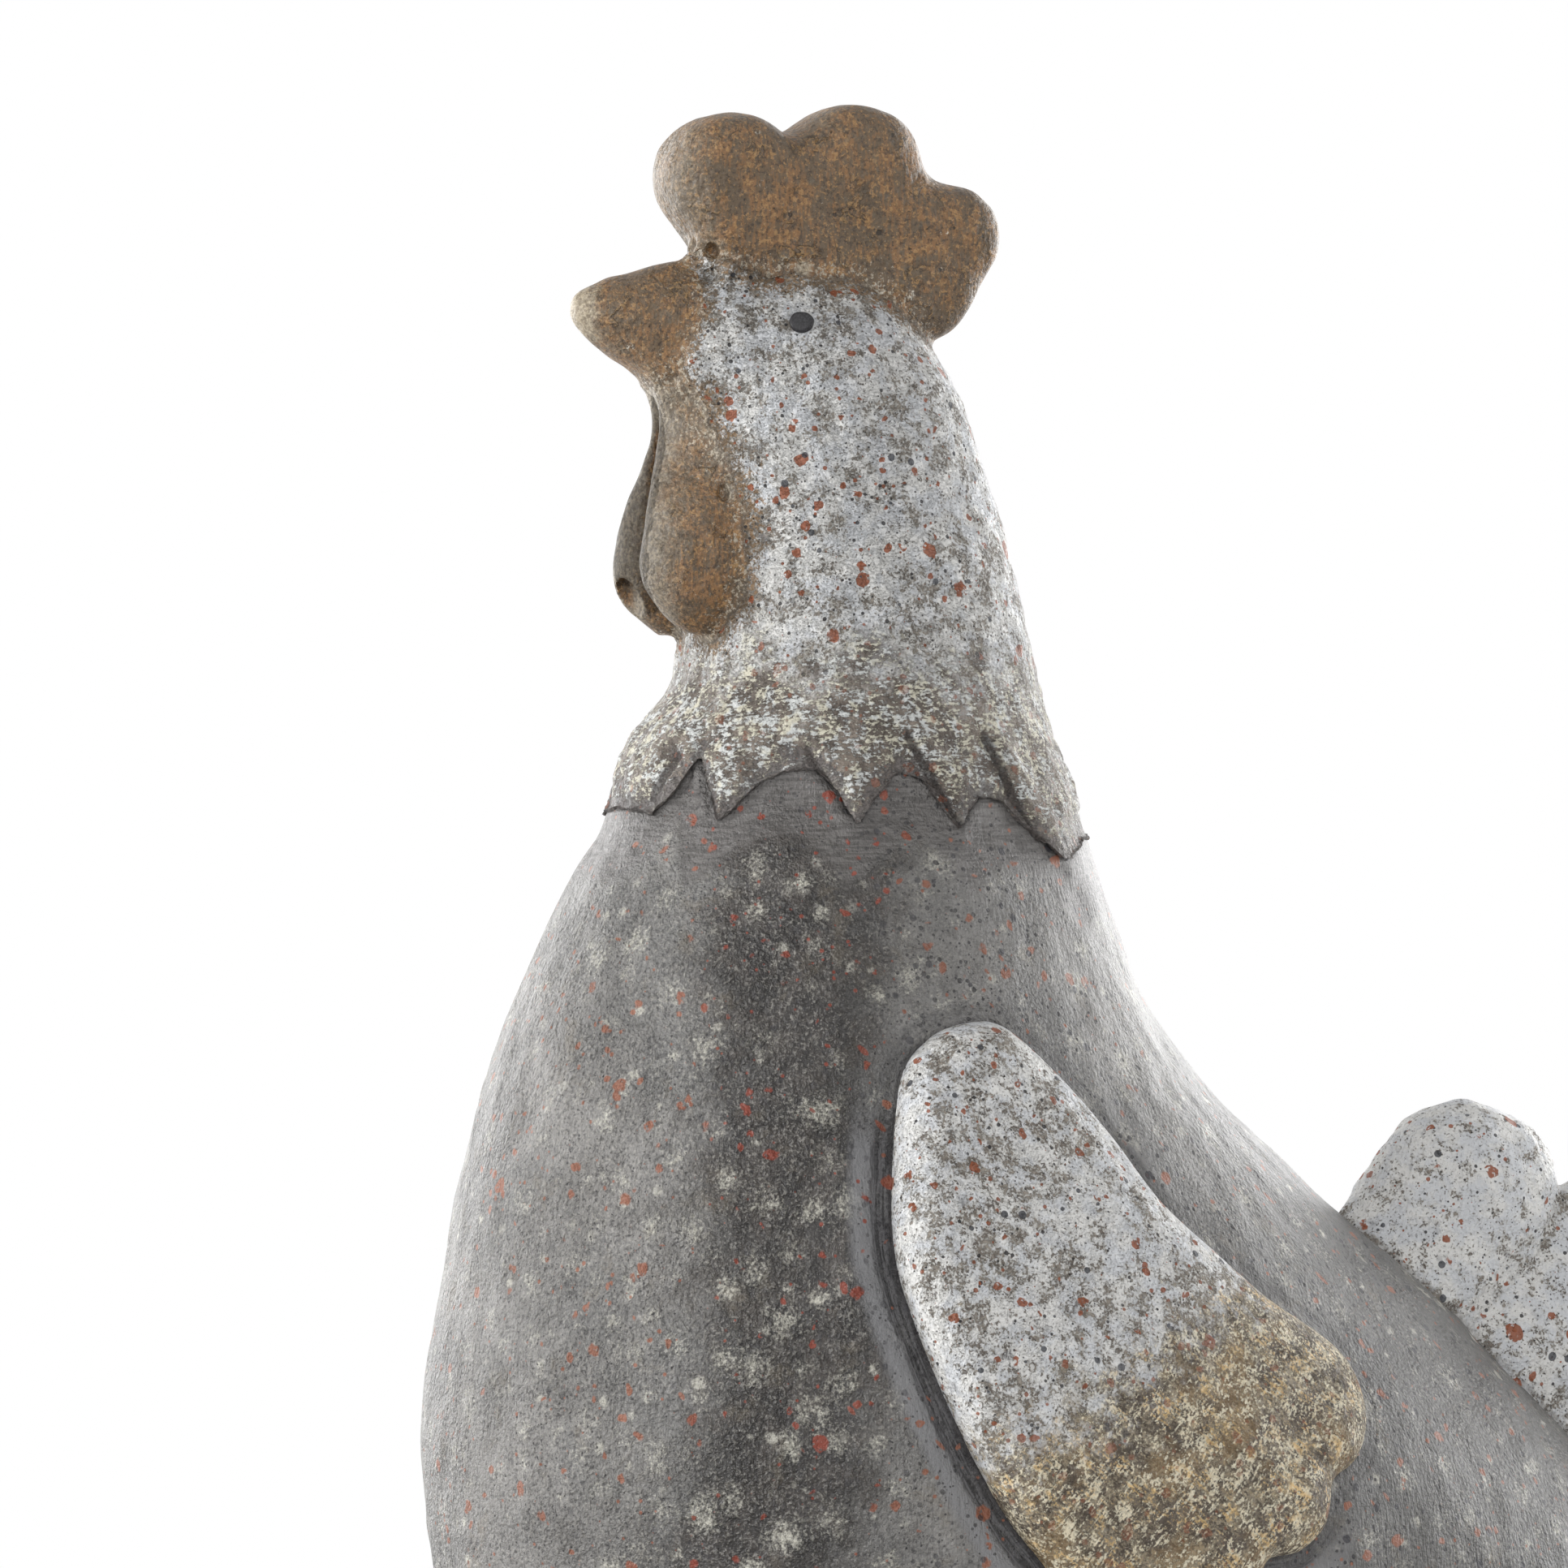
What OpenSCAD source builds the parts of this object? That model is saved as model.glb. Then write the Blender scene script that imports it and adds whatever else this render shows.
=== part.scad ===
// Rooster garden sculpture: a hollow cast figure, built up from two body shells, a hood that is the
// head and hackle, a base plate, and applied comb, beak, wattles, eyes, wings and tail lobes on rods.
// It faces -X, its left side is towards -Y, and it stands on Z = 0 with its drain hole at the origin.

/* [Body] */
// Height of the body from the ground to the shoulder line
body_h = 300; // [270:1:330]
// Length of the body from breast to rump
body_len = 360; // [330:1:400]
// How far the breast stands ahead of the base centre
breast_reach = 163.5; // [155:0.5:180]
// Width of the body
body_w = 230; // [210:1:250]
// Wall of the cast shells, measured level
wall = 9; // [7:0.5:11]
// Bond line left between two pieces that are glued or luted together
bond = 0.4; // [0.3:0.05:0.6]

/* [Neck and head] */
// Height of the neck and head above the shoulder line
head_h = 147; // [140:1:160]
// Length of the neck at the shoulder line
neck_len = 130; // [120:1:140]
// Width of the neck at the shoulder line
neck_w = 117; // [110:1:126]
// How far the neck stands ahead of the base centre
neck_reach = 45.5; // [40:0.5:52]
// Thickness of the hackle where it laps over the body
cape_t = 3; // [2:0.5:4]
// How far the body's neck rim stands up inside the hood
lap_h = 18; // [14:1:24]
// Depth of the points along the hackle's hem
hem_depth = 15; // [8:1:18]
// How much lower the hem hangs at the back than at the front
hem_fall = 11; // [0:1:14]
// Height of the solid top of the head, above the hollow
crown_solid_h = 62; // [56:1:66]

/* [Comb, beak and wattles] */
// Radius of the comb's largest lobe
comb_r = 21; // [18:0.5:24]
// Thickness of the comb
comb_t = 34; // [28:1:38]
// How far the beak stands ahead of the head
beak_len = 33.5; // [28:0.5:38]
// Height of the beak where it meets the head
beak_h = 44; // [38:1:46]
// Width of the beak where it meets the head
beak_w = 37; // [32:1:40]
// Height of each wattle
wattle_h = 70; // [60:1:74]
// Width of each wattle, seen from the side
wattle_w = 34.5; // [29:0.5:37]
// Thickness of each wattle
wattle_t = 25; // [20:0.5:27]
// Diameter of the eye
eye_d = 6.4; // [5:0.2:8]
// Length of the eye plug
eye_len = 3.6; // [3:0.2:5]

/* [Wings] */
// Length of the wing along the body
wing_len = 138; // [120:1:150]
// Height of the wing
wing_h = 165; // [150:1:175]
// Thickness of the wing
wing_t = 11; // [8:0.5:13]

/* [Tail] */
// Radius of a tail lobe
tail_r = 30; // [27:0.5:32]
// Thickness of the tail
tail_t = 42; // [36:1:48]

/* [Base and rods] */
// Thickness of the base plate
plate_t = 9; // [7:0.5:12]
// Diameter of the drain hole in the base plate
drain_d = 20; // [14:1:30]
// Diameter of the rods that carry the comb and the beak
head_rod_d = 5; // [4:0.5:6]
// Diameter of the rods that carry the tail and the wings
body_rod_d = 6; // [5:0.5:7]
// Diameter of the pins that carry the wattles
wattle_pin_d = 4; // [3:0.5:5]
// Glue line round a rod
rod_gap = 0.2; // [0.1:0.05:0.3]
// Thickness of the fibre tape inside the seam
tape_t = 1.2; // [0.8:0.2:2]
// Width of the fibre tape inside the seam
tape_w = 11; // [8:1:12]

/* [Hidden] */

// Facets: columns round a half shell and round the hood, levels up the body, and round small shapes
half_cols = 24;
hood_cols = 60;
body_levels = 18;
sink_levels = 8;
hood_levels = 9;
round_fn = 32;
bore_fn = 48;
overrun = 3 * bond;

// The figure's level sections. A body row gives the height as a share of body_h, how far the front,
// the back and the side stand out from the neck's section towards the body's widest, and the taper.
body_row_shares = [
    [0.000, 0.190, 0.580, 0.450, 0.02], [0.040, 0.390, 0.700, 0.630, 0.04],
    [0.093, 0.590, 0.826, 0.770, 0.08], [0.150, 0.736, 0.923, 0.894, 0.12],
    [0.223, 0.891, 0.991, 0.982, 0.15], [0.300, 0.973, 0.969, 1.000, 0.17],
    [0.383, 1.000, 0.860, 1.000, 0.18], [0.467, 0.973, 0.711, 0.938, 0.17],
    [0.550, 0.900, 0.557, 0.832, 0.15], [0.633, 0.825, 0.390, 0.690, 0.12],
    [0.717, 0.710, 0.227, 0.531, 0.08], [0.800, 0.550, 0.120, 0.363, 0.04],
    [0.883, 0.327, 0.063, 0.204, 0.02], [0.950, 0.127, 0.023, 0.080, 0.00],
    [1.000, 0.030, 0.000, 0.000, 0.00],
];
// A head row gives the height as a share of head_h, the front, the back and the side as shares of
// half the neck's length and width, and the taper.
head_row_shares = [
    [0.095, -0.920, 0.908, 0.915, 0.00], [0.184, -0.765, 0.846, 0.846, 0.00],
    [0.272, -0.715, 0.808, 0.795, 0.00], [0.374, -0.715, 0.754, 0.752, 0.00],
    [0.490, -0.723, 0.685, 0.697, -0.02], [0.612, -0.746, 0.603, 0.638, -0.05],
    [0.721, -0.762, 0.515, 0.581, -0.10], [0.816, -0.746, 0.392, 0.504, -0.14],
    [0.898, -0.677, 0.246, 0.397, -0.16], [0.959, -0.546, 0.069, 0.256, -0.16],
    [0.993, -0.392, -0.100, 0.111, -0.16],
];
rump_x = body_len - breast_reach;
neck_front_x = -neck_reach - neck_len / 2;
neck_back_x = -neck_reach + neck_len / 2;
figure_rows = concat(
    [for (r = body_row_shares) [
        r[0] * body_h,
        neck_front_x + r[1] * (-breast_reach - neck_front_x),
        neck_back_x + r[2] * (rump_x - neck_back_x),
        neck_w / 2 + r[3] * (body_w - neck_w) / 2,
        r[4]
    ]],
    [for (r = head_row_shares) [
        body_h + r[0] * head_h,
        -neck_reach + r[1] * neck_len / 2,
        -neck_reach + r[2] * neck_len / 2,
        r[3] * neck_w / 2,
        r[4]
    ]]
);
crown_z = body_h + head_h;
neck_rim_z = body_h + lap_h;
hollow_top_z = crown_z - crown_solid_h;

// Position on a smooth curve through rows of numbers, where t counts rows
function curve_part(p, q, r, s, f) =
    (2 * q + (r - p) * f + (2 * p - 5 * q + 4 * r - s) * f * f + (3 * q - p - 3 * r + s) * f * f * f) / 2;
function curve(rows, t) =
    let (last = len(rows) - 1, i = max(0, min(floor(t), last - 1)), a = rows[i], b = rows[i + 1])
    curve_part(i > 0 ? rows[i - 1] : 2 * a - b, a, b, i + 2 <= last ? rows[i + 2] : 2 * b - a, t - i);
function row_of(z, lo = 0, hi = len(figure_rows) - 1, tries = 24) =
    let (mid = (lo + hi) / 2)
    tries == 0 ? mid
    : curve(figure_rows, mid)[0] < z ? row_of(z, mid, hi, tries - 1) : row_of(z, lo, mid, tries - 1);
function section(z) = curve(figure_rows, row_of(z));

// A point on section s at angle a, counted from the tail towards +Y, set in from the surface by inset
function on_section(s, a, inset) =
    let (half = max((s[2] - s[1]) / 2 - inset, bond), side = max(s[3] - inset, bond))
    [(s[1] + s[2]) / 2 + half * cos(a), side * sin(a) * (1 - s[4] * cos(a)), s[0]];

// Half-width of the figure at a place seen from the side, and the outward direction there, towards +Y
function side_y(x, z) =
    let (s = section(z), c = max(-1, min(1, (x - (s[1] + s[2]) / 2) / ((s[2] - s[1]) / 2))))
    s[3] * sqrt(1 - c * c) * (1 - s[4] * c);
function side_normal(x, z) =
    let (
        step = bond,
        n = [side_y(x - step, z) - side_y(x + step, z), 2 * step, side_y(x, z - step) - side_y(x, z + step)]
    )
    n / norm(n);

function ease(t) = let (f = max(0, min(1, t))) f * f * (3 - 2 * f);
// Under the hackle the body steps in, so that the hackle lies over it and stands proud at its hem.
hem_z = body_h + hem_depth * 0.4;
sink_low = hem_z - 1.3 * hem_depth - hem_fall;
sink_high = hem_z - hem_depth * 0.7;
cape_gap = 1.5 * bond;
function sink(z) = (cape_t + cape_gap) * ease((z - sink_low) / (sink_high - sink_low));

// Closed skin over rings of equal length, each end closed to its middle
function mean(points) = [for (p = points) 1] * points / len(points);
module skin(rings) {
    n = len(rings[0]);
    m = len(rings);
    points = concat([for (r = rings) each r], [mean(rings[0]), mean(rings[m - 1])]);
    sides = [for (j = [0:m - 2]) for (i = [0:n - 1]) let (a = j * n + i, b = j * n + (i + 1) % n)
        each [[a, a + n, b + n], [a, b + n, b]]];
    ends = [for (i = [0:n - 1]) let (k = (i + 1) % n)
        each [[i, k, m * n], [(m - 1) * n + k, (m - 1) * n + i, m * n + 1]]];
    polyhedron(points, concat(sides, ends), convexity = 8);
}

// Part of a shell between two angles: each column is a loop, up the outside and down the inside
module shell_part(angles, levels, outer, inner, shift = 0) {
    n = len(levels);
    columns = [for (a = angles) concat(
        [for (z = levels) on_section(section(z), a, outer(z)) + [0, shift, 0]],
        [for (i = [n - 1:-1:0]) on_section(section(levels[i]), a, inner(levels[i])) + [0, shift, 0]])];
    w = 2 * n;
    m = len(angles);
    sides = [for (j = [0:m - 2]) for (i = [0:w - 1]) let (a = j * w + i, b = j * w + (i + 1) % w)
        each [[a, b + w, a + w], [a, b, b + w]]];
    ends = [for (i = [0:n - 2]) let (a = i, b = w - 1 - i, c = (m - 1) * w)
        each [[a, b, b - 1], [a, b - 1, a + 1], [c + a, c + b - 1, c + b], [c + a, c + a + 1, c + b - 1]]];
    polyhedron([for (c = columns) each c], concat(sides, ends), convexity = 8);
}

// Keeps a carved shape as one skin, before its holes are drilled
module carved() {
    resize([0, 0, 0]) children();
}
module ball(at, radii) {
    translate(at) scale(radii) sphere(1, $fn = round_fn);
}
module mirror_if(yes) {
    mirror([0, yes ? 1 : 0, 0]) children();
}
module rod(from, to, d) {
    v = to - from;
    translate(from)
        rotate([0, acos(v[2] / norm(v)), atan2(v[1], v[0])])
            cylinder(h = norm(v), d = d, $fn = bore_fn);
}

// Each rod is a pair of end points, and its hole runs on past both ends by the glue line
module hole(ends, d) {
    unit = (ends[1] - ends[0]) / norm(ends[1] - ends[0]);
    rod(ends[0] - unit * rod_gap, ends[1] + unit * rod_gap, d + 2 * rod_gap);
}

// Comb: each lobe's middle and relative radius, and its root, as shares of comb_r from the crown
comb_lobe_shares = [[-1.74, 0.93, 0.93], [0, 1.05, 1.0], [1.31, 0.22, 0.77]];
comb_root_shares = [[-1.15, 0], [0, -0.25], [0.95, -0.5]];
comb_x = -neck_reach + neck_len * 0.01;
function comb_point(p) = [comb_x + p[0] * comb_r, 0, crown_z + p[1] * comb_r];
comb_rod_shares = [-1.2, 0.1];
comb_rod_ends = [for (s = comb_rod_shares) let (x = comb_x + s * comb_r)
    [[x, 0, crown_z - crown_solid_h / 2], [x, 0, crown_z + comb_r]]];

// Beak: each row is how far ahead of the head it lies as a share of beak_len, its middle's rise and half
// height as shares of beak_h, and half its width as a share of beak_w
beak_row_shares = [
    [-0.6, -0.04, 0.42, 0.4], [-0.28, 0, 0.51, 0.5], [-0.04, 0.01, 0.475, 0.48], [0.2, 0.045, 0.42, 0.43],
    [0.44, 0.07, 0.35, 0.37], [0.65, 0.1, 0.275, 0.31], [0.83, 0.12, 0.195, 0.23],
    [0.95, 0.135, 0.12, 0.14], [0.995, 0.14, 0.055, 0.065],
];
beak_z = crown_z - beak_h * 0.52;
beak_x = section(beak_z)[1];
beak_rod_z = beak_z + beak_h * 0.06;
beak_rod_ends = [[beak_x + beak_len / 3, 0, beak_rod_z], [beak_x - beak_len * 0.7, 0, beak_rod_z]];

// Wattles: each row is the height as a share of wattle_h, the middle's place ahead of the neck and half
// the width as shares of wattle_w, then the middle's place aside, half the thickness and how far the back
// edge turns out, as shares of wattle_t
wattle_row_shares = [
    [0, 0, 0.1, 0.5, 0.12, 0], [0.05, 0, 0.24, 0.5, 0.26, 0], [0.145, 0, 0.42, 0.5, 0.43, 0.02],
    [0.27, 0, 0.49, 0.505, 0.48, 0.03], [0.4, 0, 0.47, 0.5, 0.46, 0.06], [0.53, 0, 0.42, 0.46, 0.41, 0.12],
    [0.66, 0.01, 0.34, 0.38, 0.3, 0.2], [0.79, 0.01, 0.28, 0.31, 0.24, 0.18],
    [0.92, 0.05, 0.22, 0.26, 0.18, 0.1], [1, 0.1, 0.13, 0.22, 0.11, 0.04],
];
wattle_base_z = crown_z - beak_h * 0.82 - wattle_h;
wattle_z = wattle_base_z + wattle_h * 0.3;
wattle_x = section(wattle_z)[1];
wattle_y = wattle_t / 2;
// The front of the figure's surface at a place seen from the front
function front_x(y, z) =
    let (s = section(z))
    (s[1] + s[2]) / 2 - (s[2] - s[1]) / 2 * sqrt(1 - pow(y / s[3], 2));
function wattle_pin_ends(side) =
    let (x = front_x(wattle_y, wattle_z))
    [[x + wall * 0.8, side * wattle_y, wattle_z], [x - wattle_w * 0.38, side * wattle_y, wattle_z]];

// Wings: their middle, seen from the side, and where their rods go in
wing_x = body_len * 0.439 - breast_reach;
wing_z = body_h / 2;
wing_rod_shares = [[-0.24, 0.24], [0.16, -0.14]];
wing_rod_places = [for (s = wing_rod_shares) [wing_x + s[0] * wing_len, wing_z + s[1] * wing_h]];
function wing_rod_ends(p, side) =
    let (y = side_y(p[0], p[1]))
    [[p[0], side * (y - wall * 0.85), p[1]], [p[0], side * (y + wing_t * 0.6), p[1]]];

// Tail lobes: the middle of each and of its root, as shares of tail_r from where the back meets the tail
tail_at = [rump_x - body_len * 0.242, 0, body_h * 0.55];
tail_lobe_shares = [
    [[1.13, 0.57, 0.96], [-0.1, -0.8]],
    [[2.75, -0.17, 1.03], [0.9, -1.5]],
    [[3.32, -1.57, 0.97], [1.4, -2.3]],
];
function tail_point(p) = tail_at + [p[0], 0, p[1]] * tail_r;
function tail_lobe_at(i) = tail_point(tail_lobe_shares[i][0]);
function tail_root_at(i) = tail_point(tail_lobe_shares[i][1]);
tail_rod_y = tail_t / 4;
// Where the line from a lobe to its root goes into the body, found by halving
function entry(a, b, y, lo = 0, hi = 1, tries = 16) =
    let (f = (lo + hi) / 2, p = a + (b - a) * f, s = section(p[2]), c = sqrt(max(0, 1 - pow(y / s[3], 2))))
    tries == 0 ? f
    : p[0] > (s[1] + s[2]) / 2 + c * (s[2] - s[1]) / 2 ? entry(a, b, y, f, hi, tries - 1)
    : entry(a, b, y, lo, f, tries - 1);
function tail_rod_ends(i, side) =
    let (
        a = tail_lobe_at(i), b = tail_root_at(i), unit = (b - a) / norm(b - a),
        into = a + (b - a) * entry(a, b, tail_rod_y), y = [0, side * tail_rod_y, 0]
    )
    [into + unit * (wall + body_rod_d) + y, a - unit * body_rod_d + y];

// Levels: up the base plate, up the body, through the step under the hem, and up the hood
plate_zs = [0, plate_t / 3, plate_t];
wall_zs = [for (i = [1:body_levels - 1]) plate_t + (sink_low - plate_t) * i / body_levels];
sink_zs = [for (i = [0:sink_levels]) sink_low + (sink_high - sink_low) * i / sink_levels];
hood_low_z = hem_z + hem_depth * 0.8;
hood_top_shares = [0.9, 0.935, 0.965, 0.985, 0.993];
hood_zs = concat(
    [for (i = [0:hood_levels - 1])
        hood_low_z + (body_h + head_h * hood_top_shares[0] - hood_low_z) * i / hood_levels],
    [for (f = hood_top_shares) body_h + f * head_h]
);

// Solid forms that other pieces are cut to, grown by the bond line
module head_form(grow) {
    skin([for (z = hood_zs) [for (i = [0:hood_cols - 1])
        on_section(section(z), i * 360 / hood_cols, -grow) + [0, 0, z > crown_z - overrun ? grow : 0]]]);
}
module body_form(grow) {
    skin([for (z = wall_zs) [for (i = [0:2 * half_cols - 1])
        on_section(section(z), i * 180 / half_cols, -grow)]]);
}
module beak_form(grow) {
    skin([for (r = beak_row_shares) [for (i = [0:round_fn - 1]) let (a = -i * 360 / round_fn) [
        beak_x - r[0] * beak_len,
        (r[3] * beak_w + grow) * cos(a),
        beak_z + r[1] * beak_h + (r[2] * beak_h + grow) * sin(a)
    ]]]);
}
module wattle_form(side) {
    skin([for (r = wattle_row_shares) [for (i = [0:round_fn - 1]) let (a = i * 360 / round_fn) [
        wattle_x - (r[1] - r[2] * cos(a)) * wattle_w,
        side * (r[3] + r[5] * cos(a)) * wattle_t + r[4] * wattle_t * sin(a),
        wattle_base_z + r[0] * wattle_h
    ]]]);
}
module tail_lobe_form(i, grow) {
    r = tail_lobe_shares[i][0][2] * tail_r;
    hull() {
        ball(tail_lobe_at(i), [r + grow, tail_t / 2 + grow, r + grow]);
        ball(tail_root_at(i), [r + grow, tail_t / 2 + grow, r + grow] * 0.9);
    }
}

// Body
body_zs = concat(plate_zs, wall_zs, sink_zs, [neck_rim_z]);
module body_half() {
    shell_part([for (i = [0:half_cols]) 180 * i / half_cols], body_zs,
        function (z) sink(z), function (z) sink(z) + wall, bond / 2);
}
module body_shell(left) {
    side = left ? -1 : 1;
    color([0.42, 0.41, 0.41])
        difference() {
            mirror_if(left) body_half();
            for (p = wing_rod_places) hole(wing_rod_ends(p, side), body_rod_d);
            for (i = [0:2]) hole(tail_rod_ends(i, side), body_rod_d);
        }
}
module body_shell_left() { body_shell(true); }
module body_shell_right() { body_shell(false); }

module seam_tape() {
    turn = asin(tape_w / body_w);
    color([0.74, 0.72, 0.66])
        for (middle = [0, 180])
            shell_part([middle - turn, middle + turn], wall_zs,
                function (z) wall + bond, function (z) wall + bond + tape_t);
}

module base_plate() {
    color([0.5, 0.48, 0.46])
        difference() {
            skin([for (z = plate_zs) [for (i = [0:2 * half_cols - 1])
                on_section(section(z), i * 180 / half_cols, wall + bond)]]);
            translate([0, 0, -overrun]) cylinder(h = plate_t + 2 * overrun, d = drain_d, $fn = bore_fn);
        }
}

// Head and hackle: a hood whose pointed hem laps over the body. Each row of the hem table is an angle
// from the front, and 1 at a point of the hem or 0 at a notch.
hem_row_shares = [
    [0, 0.2], [18, 1], [30, -0.17], [36, 0.95], [60, -0.17], [72, 0.83],
    [84, -0.3], [102, 0.86], [114, 0.08], [138, 1.03], [156, 0.2], [180, 1],
];
function hem_at(a, k = 0) =
    a <= hem_row_shares[k + 1][0]
    ? let (p = hem_row_shares[k], q = hem_row_shares[k + 1]) p[1] + (q[1] - p[1]) * (a - p[0]) / (q[0] - p[0])
    : hem_at(a, k + 1);
function hem_height(a) =
    let (f = abs(180 - a)) hem_z - hem_depth * hem_at(f) - hem_fall * f / 180;
cape_out = function (z) sink(z) - cape_t - cape_gap;
cape_in = function (z) sink(z) - cape_gap;
function hood_ring(z, inset) =
    [for (i = [0:hood_cols - 1]) on_section(section(z), i * 360 / hood_cols, inset)];
// A ring part of the way from the hem to a level
function hem_ring(share, z, inset) = [for (i = [0:hood_cols - 1])
    let (a = i * 360 / hood_cols, h = hem_height(a) * (1 - share) + z * share)
    on_section(section(h), a, inset(h))];
module head_and_hackle() {
    inside = [for (i = [3:-1:0]) neck_rim_z + bond + (hollow_top_z - wall - neck_rim_z - bond) * i / 3];
    color([0.78, 0.79, 0.8])
        difference() {
            skin(concat(
                [hood_ring(hollow_top_z, 3 * wall), hood_ring(hollow_top_z - wall / 3, 2 * wall)],
                [for (z = inside) hood_ring(z, wall)],
                [hood_ring(neck_rim_z + bond, cape_in(neck_rim_z))],
                [for (f = [0.8, 0.6, 0.4, 0.25, 0.12, 0]) hem_ring(f, neck_rim_z + bond, cape_in)],
                [for (f = [0, 0.12, 0.3, 0.5, 0.75]) hem_ring(f, hood_low_z, cape_out)],
                [for (z = hood_zs) hood_ring(z, cape_out(z))]
            ));
            for (e = comb_rod_ends) hole(e, head_rod_d);
            hole(beak_rod_ends, head_rod_d);
            for (side = [-1, 1]) {
                hole(wattle_pin_ends(side), wattle_pin_d);
                eye_plug(side, rod_gap);
            }
        }
}

module comb() {
    color([0.45, 0.35, 0.23])
        difference() {
            carved() difference() {
                for (i = [0:2]) {
                    r = comb_lobe_shares[i][2] * comb_r;
                    hull() {
                        ball(comb_point(comb_lobe_shares[i]), [r, comb_t / 2, r]);
                        ball(comb_point(comb_root_shares[i]), [r, comb_t / 2, r] * 0.9);
                    }
                }
                head_form(bond);
                beak_form(bond);
                translate([comb_x - comb_r * 3, -comb_t, crown_z - comb_r * 4])
                    cube([comb_r * 6, 2 * comb_t, comb_r * 2.6]);
            }
            for (e = comb_rod_ends) hole(e, head_rod_d);
        }
}

module beak() {
    color([0.5, 0.38, 0.24])
        difference() {
            carved() difference() {
                beak_form(0);
                head_form(bond);
            }
            hole(beak_rod_ends, head_rod_d);
        }
}

module wattle(side) {
    color([0.5, 0.37, 0.22])
        difference() {
            carved() difference() {
                wattle_form(side);
                head_form(bond);
                beak_form(bond);
            }
            hole(wattle_pin_ends(side), wattle_pin_d);
        }
}
module wattle_left() { wattle(-1); }
module wattle_right() { wattle(1); }

eye_x = -neck_reach - neck_len * 0.165;
eye_z = crown_z - head_h * 0.137;
module eye_plug(side, gap) {
    n = side_normal(eye_x, eye_z);
    out = [n[0], side * n[1], n[2]];
    at = [eye_x, side * side_y(eye_x, eye_z), eye_z];
    rod(at - out * (eye_len * 0.8 + gap), at + out * (eye_len * 0.2 + gap), eye_d + 2 * gap);
}
module eye_left() { color([0.16, 0.16, 0.18]) eye_plug(-1, 0); }
module eye_right() { color([0.16, 0.16, 0.18]) eye_plug(1, 0); }

// Wings: an outline seen from the side, laid on the body. Shares of wing_len and wing_h from its middle.
wing_outline_shares = [
    [-0.24, 0.519], [-0.167, 0.509], [-0.055, 0.425], [0.038, 0.333], [0.127, 0.227], [0.243, 0.139],
    [0.346, 0.067], [0.457, 0.009], [0.52, -0.034], [0.547, -0.085], [0.545, -0.145], [0.507, -0.2],
    [0.444, -0.232], [0.432, -0.268], [0.41, -0.31], [0.35, -0.345], [0.28, -0.355], [0.245, -0.4],
    [0.15, -0.45], [0.03, -0.475], [-0.09, -0.445], [-0.155, -0.395], [-0.19, -0.35], [-0.257, -0.28],
    [-0.336, -0.163], [-0.405, -0.019], [-0.451, 0.133], [-0.441, 0.276], [-0.404, 0.43], [-0.33, 0.495],
];
function wing_outline(k) =
    let (n = len(wing_outline_shares), p = function (i) wing_outline_shares[(i + n) % n])
    [for (i = [0:n - 1]) for (f = [0:1 / k:1 - 1 / k]) curve_part(p(i - 1), p(i), p(i + 1), p(i + 2), f)];
wing_crown_shares = [[1, 0], [0.975, 0.45], [0.92, 0.75], [0.8, 0.93], [0.55, 1], [0.25, 1]];
wing_bed_shares = [0.1, 0.3, 0.5, 0.75, 1];
function wing_ring(shape, scale_share, rise) = [for (p = shape)
    let (x = wing_x + p[0] * scale_share * wing_len, z = wing_z + p[1] * scale_share * wing_h)
    [x, side_y(x, z) + rise, z]];
module wing(left) {
    shape = wing_outline(2);
    color([0.72, 0.7, 0.66])
        difference() {
            mirror_if(left) skin(concat(
                [for (s = wing_bed_shares) wing_ring(shape, s, 1.5 * bond)],
                [for (i = [1:len(wing_crown_shares) - 1])
                    wing_ring(shape, wing_crown_shares[i][0], 1.5 * bond + wing_crown_shares[i][1] * wing_t)]
            ));
            for (p = wing_rod_places) hole(wing_rod_ends(p, left ? -1 : 1), body_rod_d);
        }
}
module wing_left() { wing(true); }
module wing_right() { wing(false); }

module tail_lobe(i) {
    color([0.76, 0.77, 0.78])
        difference() {
            carved() difference() {
                tail_lobe_form(i, 0);
                body_form(bond);
                if (i > 0) tail_lobe_form(i - 1, bond);
            }
            for (side = [-1, 1]) hole(tail_rod_ends(i, side), body_rod_d);
        }
}
module tail_lobe_upper() { tail_lobe(0); }
module tail_lobe_middle() { tail_lobe(1); }
module tail_lobe_lower() { tail_lobe(2); }

module rods(ends, d) {
    color([0.55, 0.55, 0.57]) for (e = ends) rod(e[0], e[1], d);
}
module comb_rods() { rods(comb_rod_ends, head_rod_d); }
module face_rods() {
    rods([beak_rod_ends], head_rod_d);
    rods([wattle_pin_ends(-1), wattle_pin_ends(1)], wattle_pin_d);
}
module wing_rods() {
    rods([for (p = wing_rod_places) for (side = [-1, 1]) wing_rod_ends(p, side)], body_rod_d);
}
module tail_rods() {
    rods([for (i = [0:2]) for (side = [-1, 1]) tail_rod_ends(i, side)], body_rod_d);
}

body_shell_left();
body_shell_right();
seam_tape();
base_plate();
head_and_hackle();
comb();
beak();
wattle_left();
wattle_right();
eye_left();
eye_right();
wing_left();
wing_right();
tail_lobe_upper();
tail_lobe_middle();
tail_lobe_lower();
comb_rods();
face_rods();
wing_rods();
tail_rods();
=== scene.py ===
"""Looks of the rooster garden sculpture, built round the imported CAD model.

Shapes are worked out in millimetres, in the figure's own frame, and become metres when a mesh is made.
The rooster faces -X, its left side is towards -Y, and it stands on Z = 0.
"""

import itertools
import math

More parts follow.
